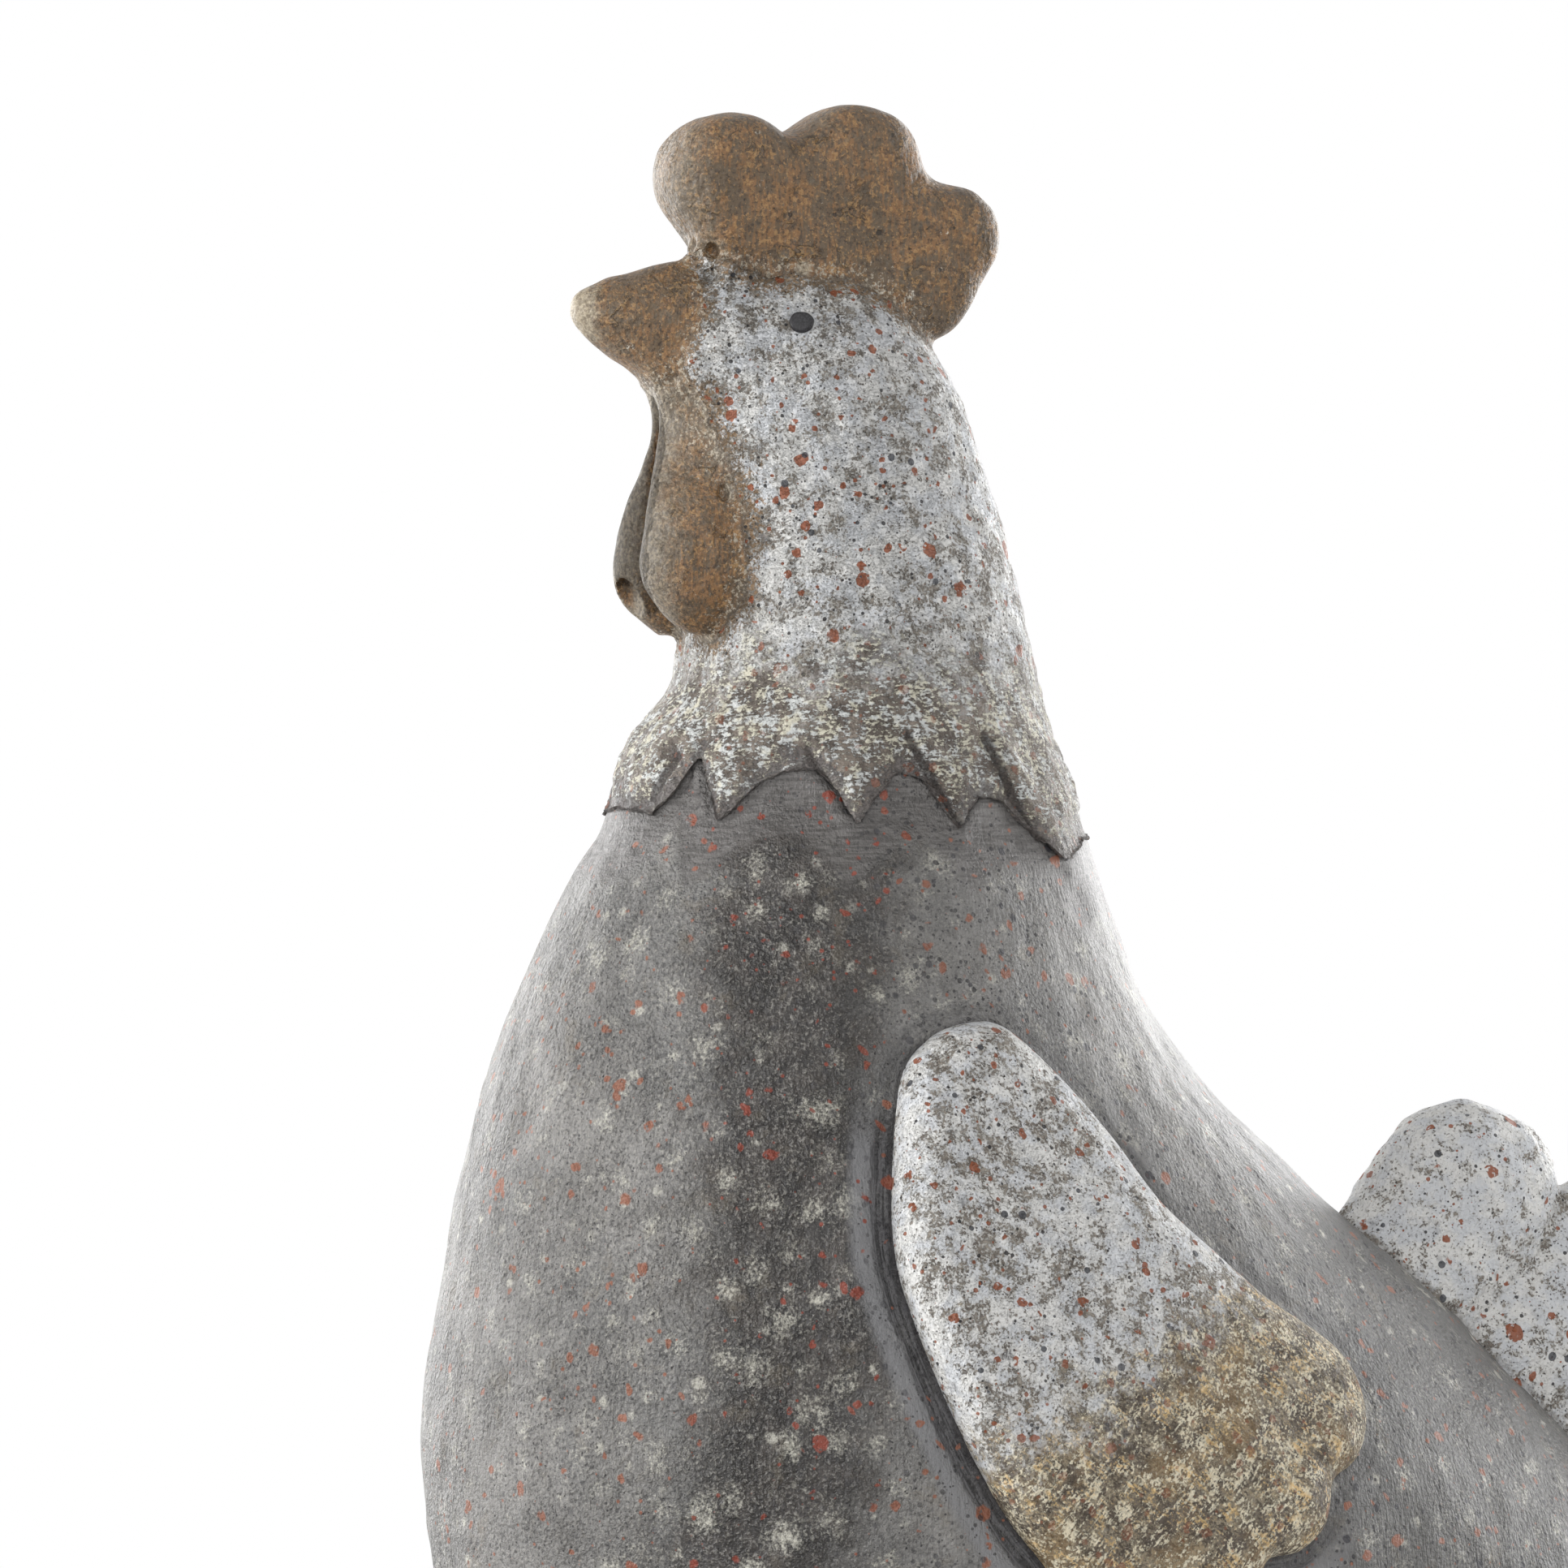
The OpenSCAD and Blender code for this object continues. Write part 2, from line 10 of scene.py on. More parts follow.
import bpy
import numpy as np
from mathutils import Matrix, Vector


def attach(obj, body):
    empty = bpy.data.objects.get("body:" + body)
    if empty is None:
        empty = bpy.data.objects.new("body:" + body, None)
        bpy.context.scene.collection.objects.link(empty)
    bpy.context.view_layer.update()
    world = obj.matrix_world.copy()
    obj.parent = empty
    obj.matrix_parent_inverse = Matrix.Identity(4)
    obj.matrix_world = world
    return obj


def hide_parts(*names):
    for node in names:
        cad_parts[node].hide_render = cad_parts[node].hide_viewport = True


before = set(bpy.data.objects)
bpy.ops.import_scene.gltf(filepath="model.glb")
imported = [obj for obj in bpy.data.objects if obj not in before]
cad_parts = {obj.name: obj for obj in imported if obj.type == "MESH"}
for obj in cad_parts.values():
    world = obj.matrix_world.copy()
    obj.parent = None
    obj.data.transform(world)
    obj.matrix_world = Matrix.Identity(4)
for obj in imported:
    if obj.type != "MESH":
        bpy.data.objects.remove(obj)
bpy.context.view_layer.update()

MM = 0.001
BODY = "root"

# Camera
# The photo shows 0.225 mm of the figure in each pixel, seen level from 20 degrees ahead of its left side
PHOTO_SIDE = 1932
PIXEL = 0.225
VIEW_TURN = math.radians(-20)
VIEW_AT = (-63.2, 0.0, 300.0)
VIEW_FROM = 2400.0
SENSOR = 36.0

# Sizes of the figure, the same as in the CAD source
BODY_H = 300.0
BODY_LEN = 360.0
BREAST_REACH = 163.5
BODY_W = 230.0
WALL = 9.0
BOND = 0.4
HEAD_H = 147.0
NECK_LEN = 130.0
NECK_W = 117.0
NECK_REACH = 45.5
CAPE_T = 3.0
LAP_H = 18.0
HEM_DEPTH = 15.0
HEM_FALL = 11.0
CROWN_SOLID_H = 62.0
COMB_R = 21.0
COMB_T = 34.0
BEAK_LEN = 33.5
BEAK_H = 44.0
BEAK_W = 37.0
WATTLE_H = 70.0
WATTLE_W = 34.5
WATTLE_T = 25.0
EYE_D = 6.4
WING_LEN = 138.0
WING_H = 165.0
WING_T = 11.0
TAIL_R = 30.0
TAIL_T = 42.0

RUMP_X = BODY_LEN - BREAST_REACH
NECK_FRONT_X = -NECK_REACH - NECK_LEN / 2
NECK_BACK_X = -NECK_REACH + NECK_LEN / 2
CROWN_Z = BODY_H + HEAD_H
NECK_RIM_Z = BODY_H + LAP_H
HOLLOW_TOP_Z = CROWN_Z - CROWN_SOLID_H

CURVE_STEPS = 4000

# Level sections of the figure, as shares of its sizes: height, front, back, side and taper
BODY_ROW_SHARES = (
    (0.000, 0.190, 0.580, 0.450, 0.02), (0.040, 0.390, 0.700, 0.630, 0.04),
    (0.093, 0.590, 0.826, 0.770, 0.08), (0.150, 0.736, 0.923, 0.894, 0.12),
    (0.223, 0.891, 0.991, 0.982, 0.15), (0.300, 0.973, 0.969, 1.000, 0.17),
    (0.383, 1.000, 0.860, 1.000, 0.18), (0.467, 0.973, 0.711, 0.938, 0.17),
    (0.550, 0.900, 0.557, 0.832, 0.15), (0.633, 0.825, 0.390, 0.690, 0.12),
    (0.717, 0.710, 0.227, 0.531, 0.08), (0.800, 0.550, 0.120, 0.363, 0.04),
    (0.883, 0.327, 0.063, 0.204, 0.02), (0.950, 0.127, 0.023, 0.080, 0.00),
    (1.000, 0.030, 0.000, 0.000, 0.00),
)
HEAD_ROW_SHARES = (
    (0.095, -0.920, 0.908, 0.915, 0.00), (0.184, -0.765, 0.846, 0.846, 0.00),
    (0.272, -0.715, 0.808, 0.795, 0.00), (0.374, -0.715, 0.754, 0.752, 0.00),
    (0.490, -0.723, 0.685, 0.697, -0.02), (0.612, -0.746, 0.603, 0.638, -0.05),
    (0.721, -0.762, 0.515, 0.581, -0.10), (0.816, -0.746, 0.392, 0.504, -0.14),
    (0.898, -0.677, 0.246, 0.397, -0.16), (0.959, -0.546, 0.069, 0.256, -0.16),
    (0.993, -0.392, -0.100, 0.111, -0.16),
)


def curve(rows, t):
    """Places on a smooth curve through rows of numbers, where t counts rows."""
    rows = np.asarray(rows, float)
    rows = np.vstack([2 * rows[0] - rows[1], rows, 2 * rows[-1] - rows[-2]])
    i = np.clip(np.floor(t).astype(int), 0, len(rows) - 4)
    f = (np.asarray(t, float) - i)[..., None]
    p, q, r, s = (rows[i + k] for k in range(4))
    return (2 * q + (r - p) * f + (2 * p - 5 * q + 4 * r - s) * f**2 + (3 * q - p - 3 * r + s) * f**3) / 2


def table_of(rows):
    """A curve's rows, close enough together to read straight values between them."""
    return curve(rows, np.linspace(0, len(rows) - 1, CURVE_STEPS))


def sized(shares, base, reach):
    """Rows of shares as sizes, where each column has its own base and reach."""
    return np.array(base) + np.array(shares) * reach


# Columns: height, front and back edge, half width and taper
BODY_ROWS = sized(
    BODY_ROW_SHARES, (0, NECK_FRONT_X, NECK_BACK_X, NECK_W / 2, 0),
    (BODY_H, -BREAST_REACH - NECK_FRONT_X, RUMP_X - NECK_BACK_X, (BODY_W - NECK_W) / 2, 1),
)
HEAD_ROWS = sized(
    HEAD_ROW_SHARES, (BODY_H, -NECK_REACH, -NECK_REACH, 0, 0),
    (HEAD_H, NECK_LEN / 2, NECK_LEN / 2, NECK_W / 2, 1),
)
FIGURE = table_of(np.vstack([BODY_ROWS, HEAD_ROWS]))


def read(table, at):
    """A table's columns at places in its first column."""
    return [np.interp(at, table[:, 0], table[:, k]) for k in range(1, table.shape[1])]


def ease(t):
    """Goes smoothly from 0 to 1 as t does."""
    f = np.clip(t, 0, 1)
    return f * f * (3 - 2 * f)


def hump(x, width):
    """1 where x is 0, and near 0 from twice the width on."""
    return np.exp(-((x / width) ** 2))


def on_section(z, angle, inset=0.0):
    """Points at heights z and angles from the tail towards +Y, set in from the surface by inset."""
    front, back, side, taper = read(FIGURE, z)
    half = (back - front) / 2 - inset
    x = (front + back) / 2 + half * np.cos(angle)
    y = (side - inset) * np.sin(angle) * (1 - taper * np.cos(angle))
    return np.stack(np.broadcast_arrays(x, y, z), -1)


def side_y(x, z):
    """Half-width of the figure at places seen from the side."""
    front, back, side, taper = read(FIGURE, z)
    c = np.clip((x - (front + back) / 2) / ((back - front) / 2), -1, 1)
    return side * np.sqrt(1 - c * c) * (1 - taper * c)


# Under the hackle the body steps in, so that the hackle lies over it
HEM_Z = BODY_H + HEM_DEPTH * 0.4
SINK_LOW = HEM_Z - 1.3 * HEM_DEPTH - HEM_FALL
SINK_HIGH = HEM_Z - HEM_DEPTH * 0.7
CAPE_GAP = 1.5 * BOND
# Height in the photo of the hem's rows below, which follow HEM_Z
HEM_DRAWN_Z = 306.0


def sink(z):
    return (CAPE_T + CAPE_GAP) * ease((z - SINK_LOW) / (SINK_HIGH - SINK_LOW))


# The hem: degrees from the front, and the height of the painted edge there
HEM_ROWS = np.array((
    (0, 294), (8, 293), (18, 292), (24, 299), (29, 308), (33, 301), (38, 290), (42, 293.5), (47, 300),
    (56, 304.8), (63, 304), (68, 299), (74, 289.5), (79, 296), (86, 304), (93, 301), (102, 288),
    (105, 292), (110, 296.5), (118, 295), (126, 287), (133, 279), (139, 281), (147, 284), (154, 285),
    (163, 285), (180, 286),
))


def hem_height(angle):
    """Height of the hem at angles in radians from the tail."""
    turn = np.abs(180 - np.degrees(angle) % 360)
    return np.interp(turn, HEM_ROWS[:, 0], HEM_ROWS[:, 1]) + (HEM_Z - HEM_DRAWN_Z)


# Noise, the same on every run
CORNERS = tuple(itertools.product((0, 1), repeat=3))


def lattice(cell, seed):
    """A steady random number from -1 to 1 for each whole-numbered place."""
    x, y, z = (cell[..., k].astype(np.uint64) for k in range(3))
    mixed = x * np.uint64(374761393) + y * np.uint64(668265263) + z * np.uint64(2246822519)
    mixed = mixed + np.uint64(seed * 3266489917 + 97)
    mixed = (mixed ^ (mixed >> np.uint64(15))) * np.uint64(2654435761)
    mixed = (mixed ^ (mixed >> np.uint64(13))) * np.uint64(1597334677)
    return ((mixed >> np.uint64(11)) & np.uint64(0xFFFF)).astype(float) / 32767.5 - 1


def between_corners(base, share, value_at):
    """Values at the eight whole places round each place, weighed by its share of the way between them."""
    total = np.zeros(share.shape[:-1])
    for corner in CORNERS:
        weight = np.prod([share[..., k] if corner[k] else 1 - share[..., k] for k in range(3)], axis=0)
        total += weight * value_at(base + corner)
    return total


def noise(at, size, seed=0):
    """Soft bumps of a size in millimetres, from -1 to 1."""
    at = at / size + 1000.0
    base = np.floor(at)
    return between_corners(base, ease(at - base), lambda cell: lattice(cell, seed))


def dents(at, sizes, heights, seed=0):
    """Layers of noise, each with a size and a height in millimetres."""
    return sum(h * noise(at, s, seed + 7 * i) for i, (s, h) in enumerate(zip(sizes, heights)))


# Wing outline, as shares of its length and height from its middle, seen from the side
WING_OUTLINE_SHARES = (
    (-0.24, 0.519), (-0.167, 0.509), (-0.055, 0.425), (0.038, 0.333), (0.127, 0.227), (0.243, 0.139),
    (0.346, 0.067), (0.457, 0.009), (0.52, -0.034), (0.547, -0.085), (0.545, -0.145), (0.507, -0.2),
    (0.444, -0.232), (0.432, -0.268), (0.41, -0.31), (0.35, -0.345), (0.28, -0.355), (0.245, -0.4),
    (0.15, -0.45), (0.03, -0.475), (-0.09, -0.445), (-0.155, -0.395), (-0.19, -0.35), (-0.257, -0.28),
    (-0.336, -0.163), (-0.405, -0.019), (-0.451, 0.133), (-0.441, 0.276), (-0.404, 0.43), (-0.33, 0.495),
)
WING_MIDDLE = np.array((BODY_LEN * 0.439 - BREAST_REACH, BODY_H / 2))


def closed_curve(points, count):
    """Places evenly spread along a smooth closed curve through points."""
    points = np.asarray(points, float)
    looped = np.vstack([points[-2:], points, points[:3]])
    fine = curve(looped, np.linspace(2, len(points) + 2, CURVE_STEPS))
    gone = np.concatenate([[0], np.cumsum(np.linalg.norm(np.diff(fine, axis=0), axis=1))])
    at = np.linspace(0, gone[-1], count, endpoint=False)
    return np.stack([np.interp(at, gone, fine[:, k]) for k in range(2)], 1)


WING_EDGE = WING_MIDDLE + closed_curve(WING_OUTLINE_SHARES, 360) * (WING_LEN, WING_H)
# The feather and beak lines lean, so that their true distance is this share of the level one
LEAN = 0.85
LINE_FADE = 3.0


def from_line(places, line, closed=True):
    """Distance of places from a line of points, seen from the side or in space."""
    start = line if closed else line[:-1]
    end = np.roll(line, -1, 0) if closed else line[1:]
    best = np.full(len(places), 1e9)
    for a, b in zip(start, end):
        way = b - a
        share = np.clip((places - a) @ way / (way @ way), 0, 1)
        best = np.minimum(best, np.linalg.norm(places - a - share[:, None] * way, axis=1))
    return best


def behind_line(x, z, line):
    """How far places seen from the side lie behind a line that runs from high to low."""
    order = np.argsort(line[:, 1])
    return (x - np.interp(z, line[order, 1], line[order, 0])) * LEAN


def along_line(z, line):
    """1 at the heights of a line, and fading above and below them."""
    past = np.maximum(line[:, 1].min() - z, z - line[:, 1].max())
    return hump(np.maximum(past, 0), LINE_FADE)


def in_wing(places):
    """Whether places seen from the side lie within the wing's outline."""
    x, z = places.T
    inside = np.zeros(len(places), bool)
    for a, b in zip(WING_EDGE, np.roll(WING_EDGE, -1, 0)):
        crosses = (a[1] > z) != (b[1] > z)
        if crosses.any():
            at = a[0] + (z - a[1]) / (b[1] - a[1] + 1e-12) * (b[0] - a[0])
            inside ^= crosses & (x < at)
    return inside


# Places seen in the photo
TO_CAMERA = np.array((math.sin(VIEW_TURN), -math.cos(VIEW_TURN), 0.0))
RIGHTWARD = np.array((math.cos(VIEW_TURN), math.sin(VIEW_TURN), 0.0))
UPWARD = np.array((0.0, 0.0, 1.0))


def sight_line(px, py):
    """Places along the line from the camera through a place in the photo's own 1932 pixels."""
    middle = PHOTO_SIDE / 2
    aim = np.array(VIEW_AT) + ((px - middle) * RIGHTWARD + (middle - py) * UPWARD) * PIXEL
    eye = np.array(VIEW_AT) + TO_CAMERA * VIEW_FROM
    return eye + (aim - eye) * np.linspace(0.92, 1.08, 1600)[:, None]


def seen_on_figure(px, py):
    """The place on the plain figure that shows at a place in the photo, or the nearest one to it."""
    line = sight_line(px, py)
    front, back, _, _ = read(FIGURE, line[:, 2])
    gap = np.abs(line[:, 1]) - side_y(line[:, 0], line[:, 2])
    gap += np.maximum(np.maximum(front - line[:, 0], line[:, 0] - back), 0)
    return line[(gap < 0).argmax() if (gap < 0).any() else gap.argmin()]


def side_line(pixels):
    """A line drawn in the photo, as it lies on the figure seen from its side."""
    return np.array([seen_on_figure(*pixel)[[0, 2]] for pixel in pixels])


# Meshes
def add_mesh(name, points, faces, marks=None, values=None):
    """A new object from points in millimetres.

    Marks are a colour for each point, and values are named numbers for each point.
    """
    mesh = bpy.data.meshes.new(name)
    mesh.from_pydata((np.asarray(points) * MM).tolist(), [], faces)
    mesh.shade_smooth()
    mesh.set_sharp_from_angle(angle=math.radians(60))
    if marks is not None:
        colours = np.ones((len(points), 4), np.float32)
        colours[:, :3] = marks
        layer = mesh.attributes.new("marks", "FLOAT_COLOR", "POINT")
        layer.data.foreach_set("color", colours.ravel())
    for key, numbers in (values or {}).items():
        layer = mesh.attributes.new(key, "FLOAT", "POINT")
        layer.data.foreach_set("value", np.asarray(numbers, np.float32))
    made = bpy.data.objects.new(name, mesh)
    bpy.context.scene.collection.objects.link(made)
    return made


def ring_faces(rings, columns, closed):
    """Quads between rings of points. Closed rings join the last to the first, and others get end faces."""
    j = np.arange(rings if closed else rings - 1)[:, None]
    i = np.arange(columns)[None, :]
    a = j * columns + i
    b = j * columns + (i + 1) % columns
    c = (j + 1) % rings * columns + (i + 1) % columns
    d = (j + 1) % rings * columns + i
    faces = np.stack([a, b, c, d], -1).reshape(-1, 4).tolist()
    if not closed:
        last = (rings - 1) * columns
        faces += [list(range(columns))[::-1], list(range(last, last + columns))]
    return faces


def normals_of(grid):
    """Outward directions of a grid of points, whose rings go up and whose columns turn from +X to +Y."""
    across = np.roll(grid, -1, 1) - np.roll(grid, 1, 1)
    up = np.gradient(grid, axis=0)
    out = np.cross(across, up)
    return out / np.maximum(np.linalg.norm(out, axis=-1, keepdims=True), 1e-9)


def dress(piece, slot, paint, *nodes):
    """Gives a piece its paint and its place on the body, and hides the CAD nodes that it stands for."""
    piece.data.materials.append(paint)
    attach(piece, BODY)
    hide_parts(*nodes)


# Solids from distances on a grid of points
SKIN_ROUNDS = 6
# How far a point of the skin may leave its own cell, in steps
CELL_SLACK = 0.3
# Relief fades out this far from the form's own skin
RELIEF_REACH = 1.5
LOBE_TAPER = 0.1
# Keeps the sums away from a middle line, where they would divide by zero
OFF_MIDDLE = 1e-3


def sample(field, at):
    """A field's value between its points, where at counts steps."""
    base = np.clip(np.floor(at).astype(int), 0, np.array(field.shape) - 2)
    return between_corners(base, at - base, lambda cell: field[tuple(cell.T)])


def slope(field, at):
    """How much a field rises in one step along x, y and z."""
    half = np.eye(3) * 0.5
    return np.stack([sample(field, at + h) - sample(field, at - h) for h in half], 1)


def straddles(below):
    """Cells whose eight corners don't all lie on one side."""
    a, b, c = (n - 1 for n in below.shape)
    corners = [below[i : i + a, j : j + b, k : k + c] for i, j, k in CORNERS]
    return np.logical_or.reduce(corners) & ~np.logical_and.reduce(corners)


def solid_mesh(field, cut):
    """Points, counted in steps, and quads of the closed skin round where both fields are under zero."""
    inside = np.maximum(field, cut) < 0
    beside = np.zeros_like(inside)
    for axis, step in itertools.product(range(3), (1, -1)):
        beside |= np.roll(inside, step, axis)
    inside &= beside
    spans = [np.flatnonzero(inside.any(tuple(a for a in range(3) if a != k))) for k in range(3)]
    low = [max(s[0] - 2, 0) for s in spans]
    window = tuple(slice(a, s[-1] + 3) for a, s in zip(low, spans))
    field, cut, inside = field[window], cut[window], inside[window]

    # One point in each cell that the skin passes, moved onto the skin
    mixed = straddles(inside)
    number = np.full(mixed.shape, -1)
    cells = np.argwhere(mixed)
    number[mixed] = np.arange(len(cells))
    at = cells + 0.5
    near_skin = [(layer, straddles(layer < 0)[mixed]) for layer in (field, cut)]
    for _ in range(SKIN_ROUNDS):
        for layer, chosen in near_skin:
            here = at[chosen]
            tilt = slope(layer, here)
            step = sample(layer, here)[:, None] * tilt
            at[chosen] = here - step / np.maximum((tilt**2).sum(1, keepdims=True), 1e-6)
        at = np.clip(at, cells - CELL_SLACK, cells + 1 + CELL_SLACK)

    # One quad between each grid point inside and its neighbour outside
    quads = []
    for a in range(3):
        near = [slice(1, -1)] * 3
        far = [slice(1, -1)] * 3
        near[a] = slice(None, -1)
        far[a] = slice(1, None)
        first, second = inside[tuple(near)], inside[tuple(far)]
        for wall, turn in ((first & ~second, 1), (second & ~first, -1)):
            ring = []
            for more in ((0, 0), (1, 0), (1, 1), (0, 1)):
                cell = np.argwhere(wall)
                cell[:, [(a + 1) % 3, (a + 2) % 3]] += more
                ring.append(number[tuple(cell.T)])
            quads.append(np.stack(ring[::turn], 1))
    return at + low, np.vstack(quads).tolist()


def loft_distance(u, v, half_u, half_v):
    """How far points lie outside a section, where u and v are counted from its middle."""
    u = u + OFF_MIDDLE
    share = np.sqrt((u / half_u) ** 2 + (v / half_v) ** 2)
    return np.sqrt(u * u + v * v) * (1 - 1 / share)


def evened(field, step):
    """A field whose slope is near 1 at its surface, as a distance has."""
    slopes = np.gradient(field, step)
    return (field / np.maximum(np.sqrt(sum(s * s for s in slopes)), 0.5)).astype(np.float32)


def joined(a, b, blend):
    """The smooth union of two fields, with a fillet of about blend millimetres."""
    h = np.maximum(blend - np.abs(a - b), 0) / blend
    return np.minimum(a, b) - h * h * blend / 4


class Grid:
    """Points of a box, in steps of a size."""

    def __init__(self, low, high, step):
        self.step = step
        self.low = np.array(low, float)
        counts = np.ceil((np.array(high) - self.low) / step).astype(int) + 1
        x, y, z = (self.low[k] + np.arange(counts[k]) * step for k in range(3))
        self.x = x[:, None, None].astype(np.float32)
        self.y = y[None, :, None].astype(np.float32)
        self.z = z[None, None, :].astype(np.float32)
        self.xs = x
        self.zs = z

    def figure(self, inset):
        """How far points lie outside the figure, set in by inset at each height."""
        front, back, side, taper = (v.astype(np.float32) for v in read(FIGURE, self.zs))
        half = np.maximum((back - front) / 2 - inset, 0.5)
        u = self.x - (front + back) / 2
        half_y = np.maximum(side - inset, 0.5) * (1 - taper * np.clip(u / half, -1, 1))
        return evened(loft_distance(u, self.y, half, half_y), self.step)

    def lobe(self, start, root, radius, thick):
        """For a flat lobe round a line in the mirror plane, how far points lie from the line and its radius.

        The distance comes in two parts: seen from the side, and across, which is scaled as if the lobe
        were as thick as it is high.
        """
        way = root - start
        u = self.x - start[0]
        v = self.z - start[1]
        share = np.clip((u * way[0] + v * way[1]) / (way @ way), 0, 1)
        level = np.sqrt((u - share * way[0]) ** 2 + (v - share * way[1]) ** 2)
        return level, np.abs(self.y) * (radius / (thick / 2)), radius * (1 - LOBE_TAPER * share)

    def ball(self, middle, radii):
        """How far points lie outside a ball with radii along x, y and z."""
        scaled = [(a - m) / r for a, m, r in zip((self.x, self.y, self.z), middle, radii)]
        return (np.sqrt(sum(s * s for s in scaled)) - 1) * min(radii)

    def seen_on(self, field, px, py):
        """The place on a field's skin that shows at a place in the photo."""
        line = sight_line(px, py)
        at = (line - self.low) / self.step
        kept = ((at >= 0) & (at < np.array(field.shape) - 1)).all(1)
        return line[kept][(sample(field, at[kept]) < 0).argmax()]

    def skin(self, form, solid, cut):
        """A piece cut from a smooth form: its points counted in steps and as places, the way out and quads.

        The way out is shorter away from the form's own skin, so that relief fades out there.
        """
        at, quads = solid_mesh(solid, cut)
        out = slope(form, at)
        out /= np.maximum(np.linalg.norm(out, axis=1, keepdims=True), 1e-6)
        on_form = ease(1 - np.abs(sample(form, at)) / RELIEF_REACH)
        return at, self.low + at * self.step, out * on_form[:, None], quads


# Paint
def srgb(red, green, blue):
    """A colour as it is written, 0 to 255, in the renderer's own scale."""
    return tuple(
        (c / 255 / 12.92) if c < 10.3 else ((c / 255 + 0.055) / 1.055) ** 2.4 for c in (red, green, blue)
    ) + (1.0,)


RUST = (146, 82, 52)
SALMON = (142, 90, 68)
BLACK = (38, 36, 38)
SMOKE = (66, 68, 74)
WHITE_LIGHT = (1.0, 1.0, 1.0, 1.0)


class Value:
    """A number that nodes work out at each place. Sums and products with it are worked out by nodes too."""

    def __init__(self, nodes, socket):
        self.nodes = nodes
        self.socket = socket

    def __add__(self, other):
        return self.nodes.maths("ADD", self, other)

    def __sub__(self, other):
        return self.nodes.maths("SUBTRACT", self, other)

    def __rsub__(self, other):
        return self.nodes.maths("SUBTRACT", other, self)

    def __mul__(self, other):
        return self.nodes.maths("MULTIPLY", self, other)

    def swing(self, amount):
        """A noise value, 0 to 1, as a number from minus half the amount to plus half."""
        return (self - 0.5) * amount

    def ramp(self, low, high, least=0.0, most=1.0):
        """Goes smoothly from least to most as the value goes from low to high."""
        inputs = {0: self, 1: low, 2: high, 3: least, 4: most}
        return self.nodes.number("ShaderNodeMapRange", inputs, interpolation_type="SMOOTHSTEP")

    def line(self, least, most):
        """Goes evenly from least to most as the value goes from 0 to 1."""
        return self.nodes.number("ShaderNodeMapRange", {0: self, 3: least, 4: most})


class Nodes:
    """A tree of nodes that is built up one by one."""

    def __init__(self, tree):
        self.tree = tree

    def node(self, kind, inputs=None, **settings):
        made = self.tree.nodes.new(kind)
        for key, value in settings.items():
            setattr(made, key, value)
        for key, value in (inputs or {}).items():
            self.put(made.inputs[key], value)
        return made

    def number(self, kind, inputs, **settings):
        """The first output of a new node."""
        return Value(self, self.node(kind, inputs, **settings).outputs[0])

    def split(self, kind, source):
        """The three parts of a colour or a direction."""
        return [Value(self, part) for part in self.node(kind, {0: source}).outputs[:3]]

    def put(self, socket, value):
        if isinstance(value, Value):
            value = value.socket
        if isinstance(value, bpy.types.NodeSocket):
            self.tree.links.new(value, socket)
        else:
            socket.default_value = value

    def maths(self, operation, a, b):
        return self.number("ShaderNodeMath", {0: a, 1: b}, operation=operation)


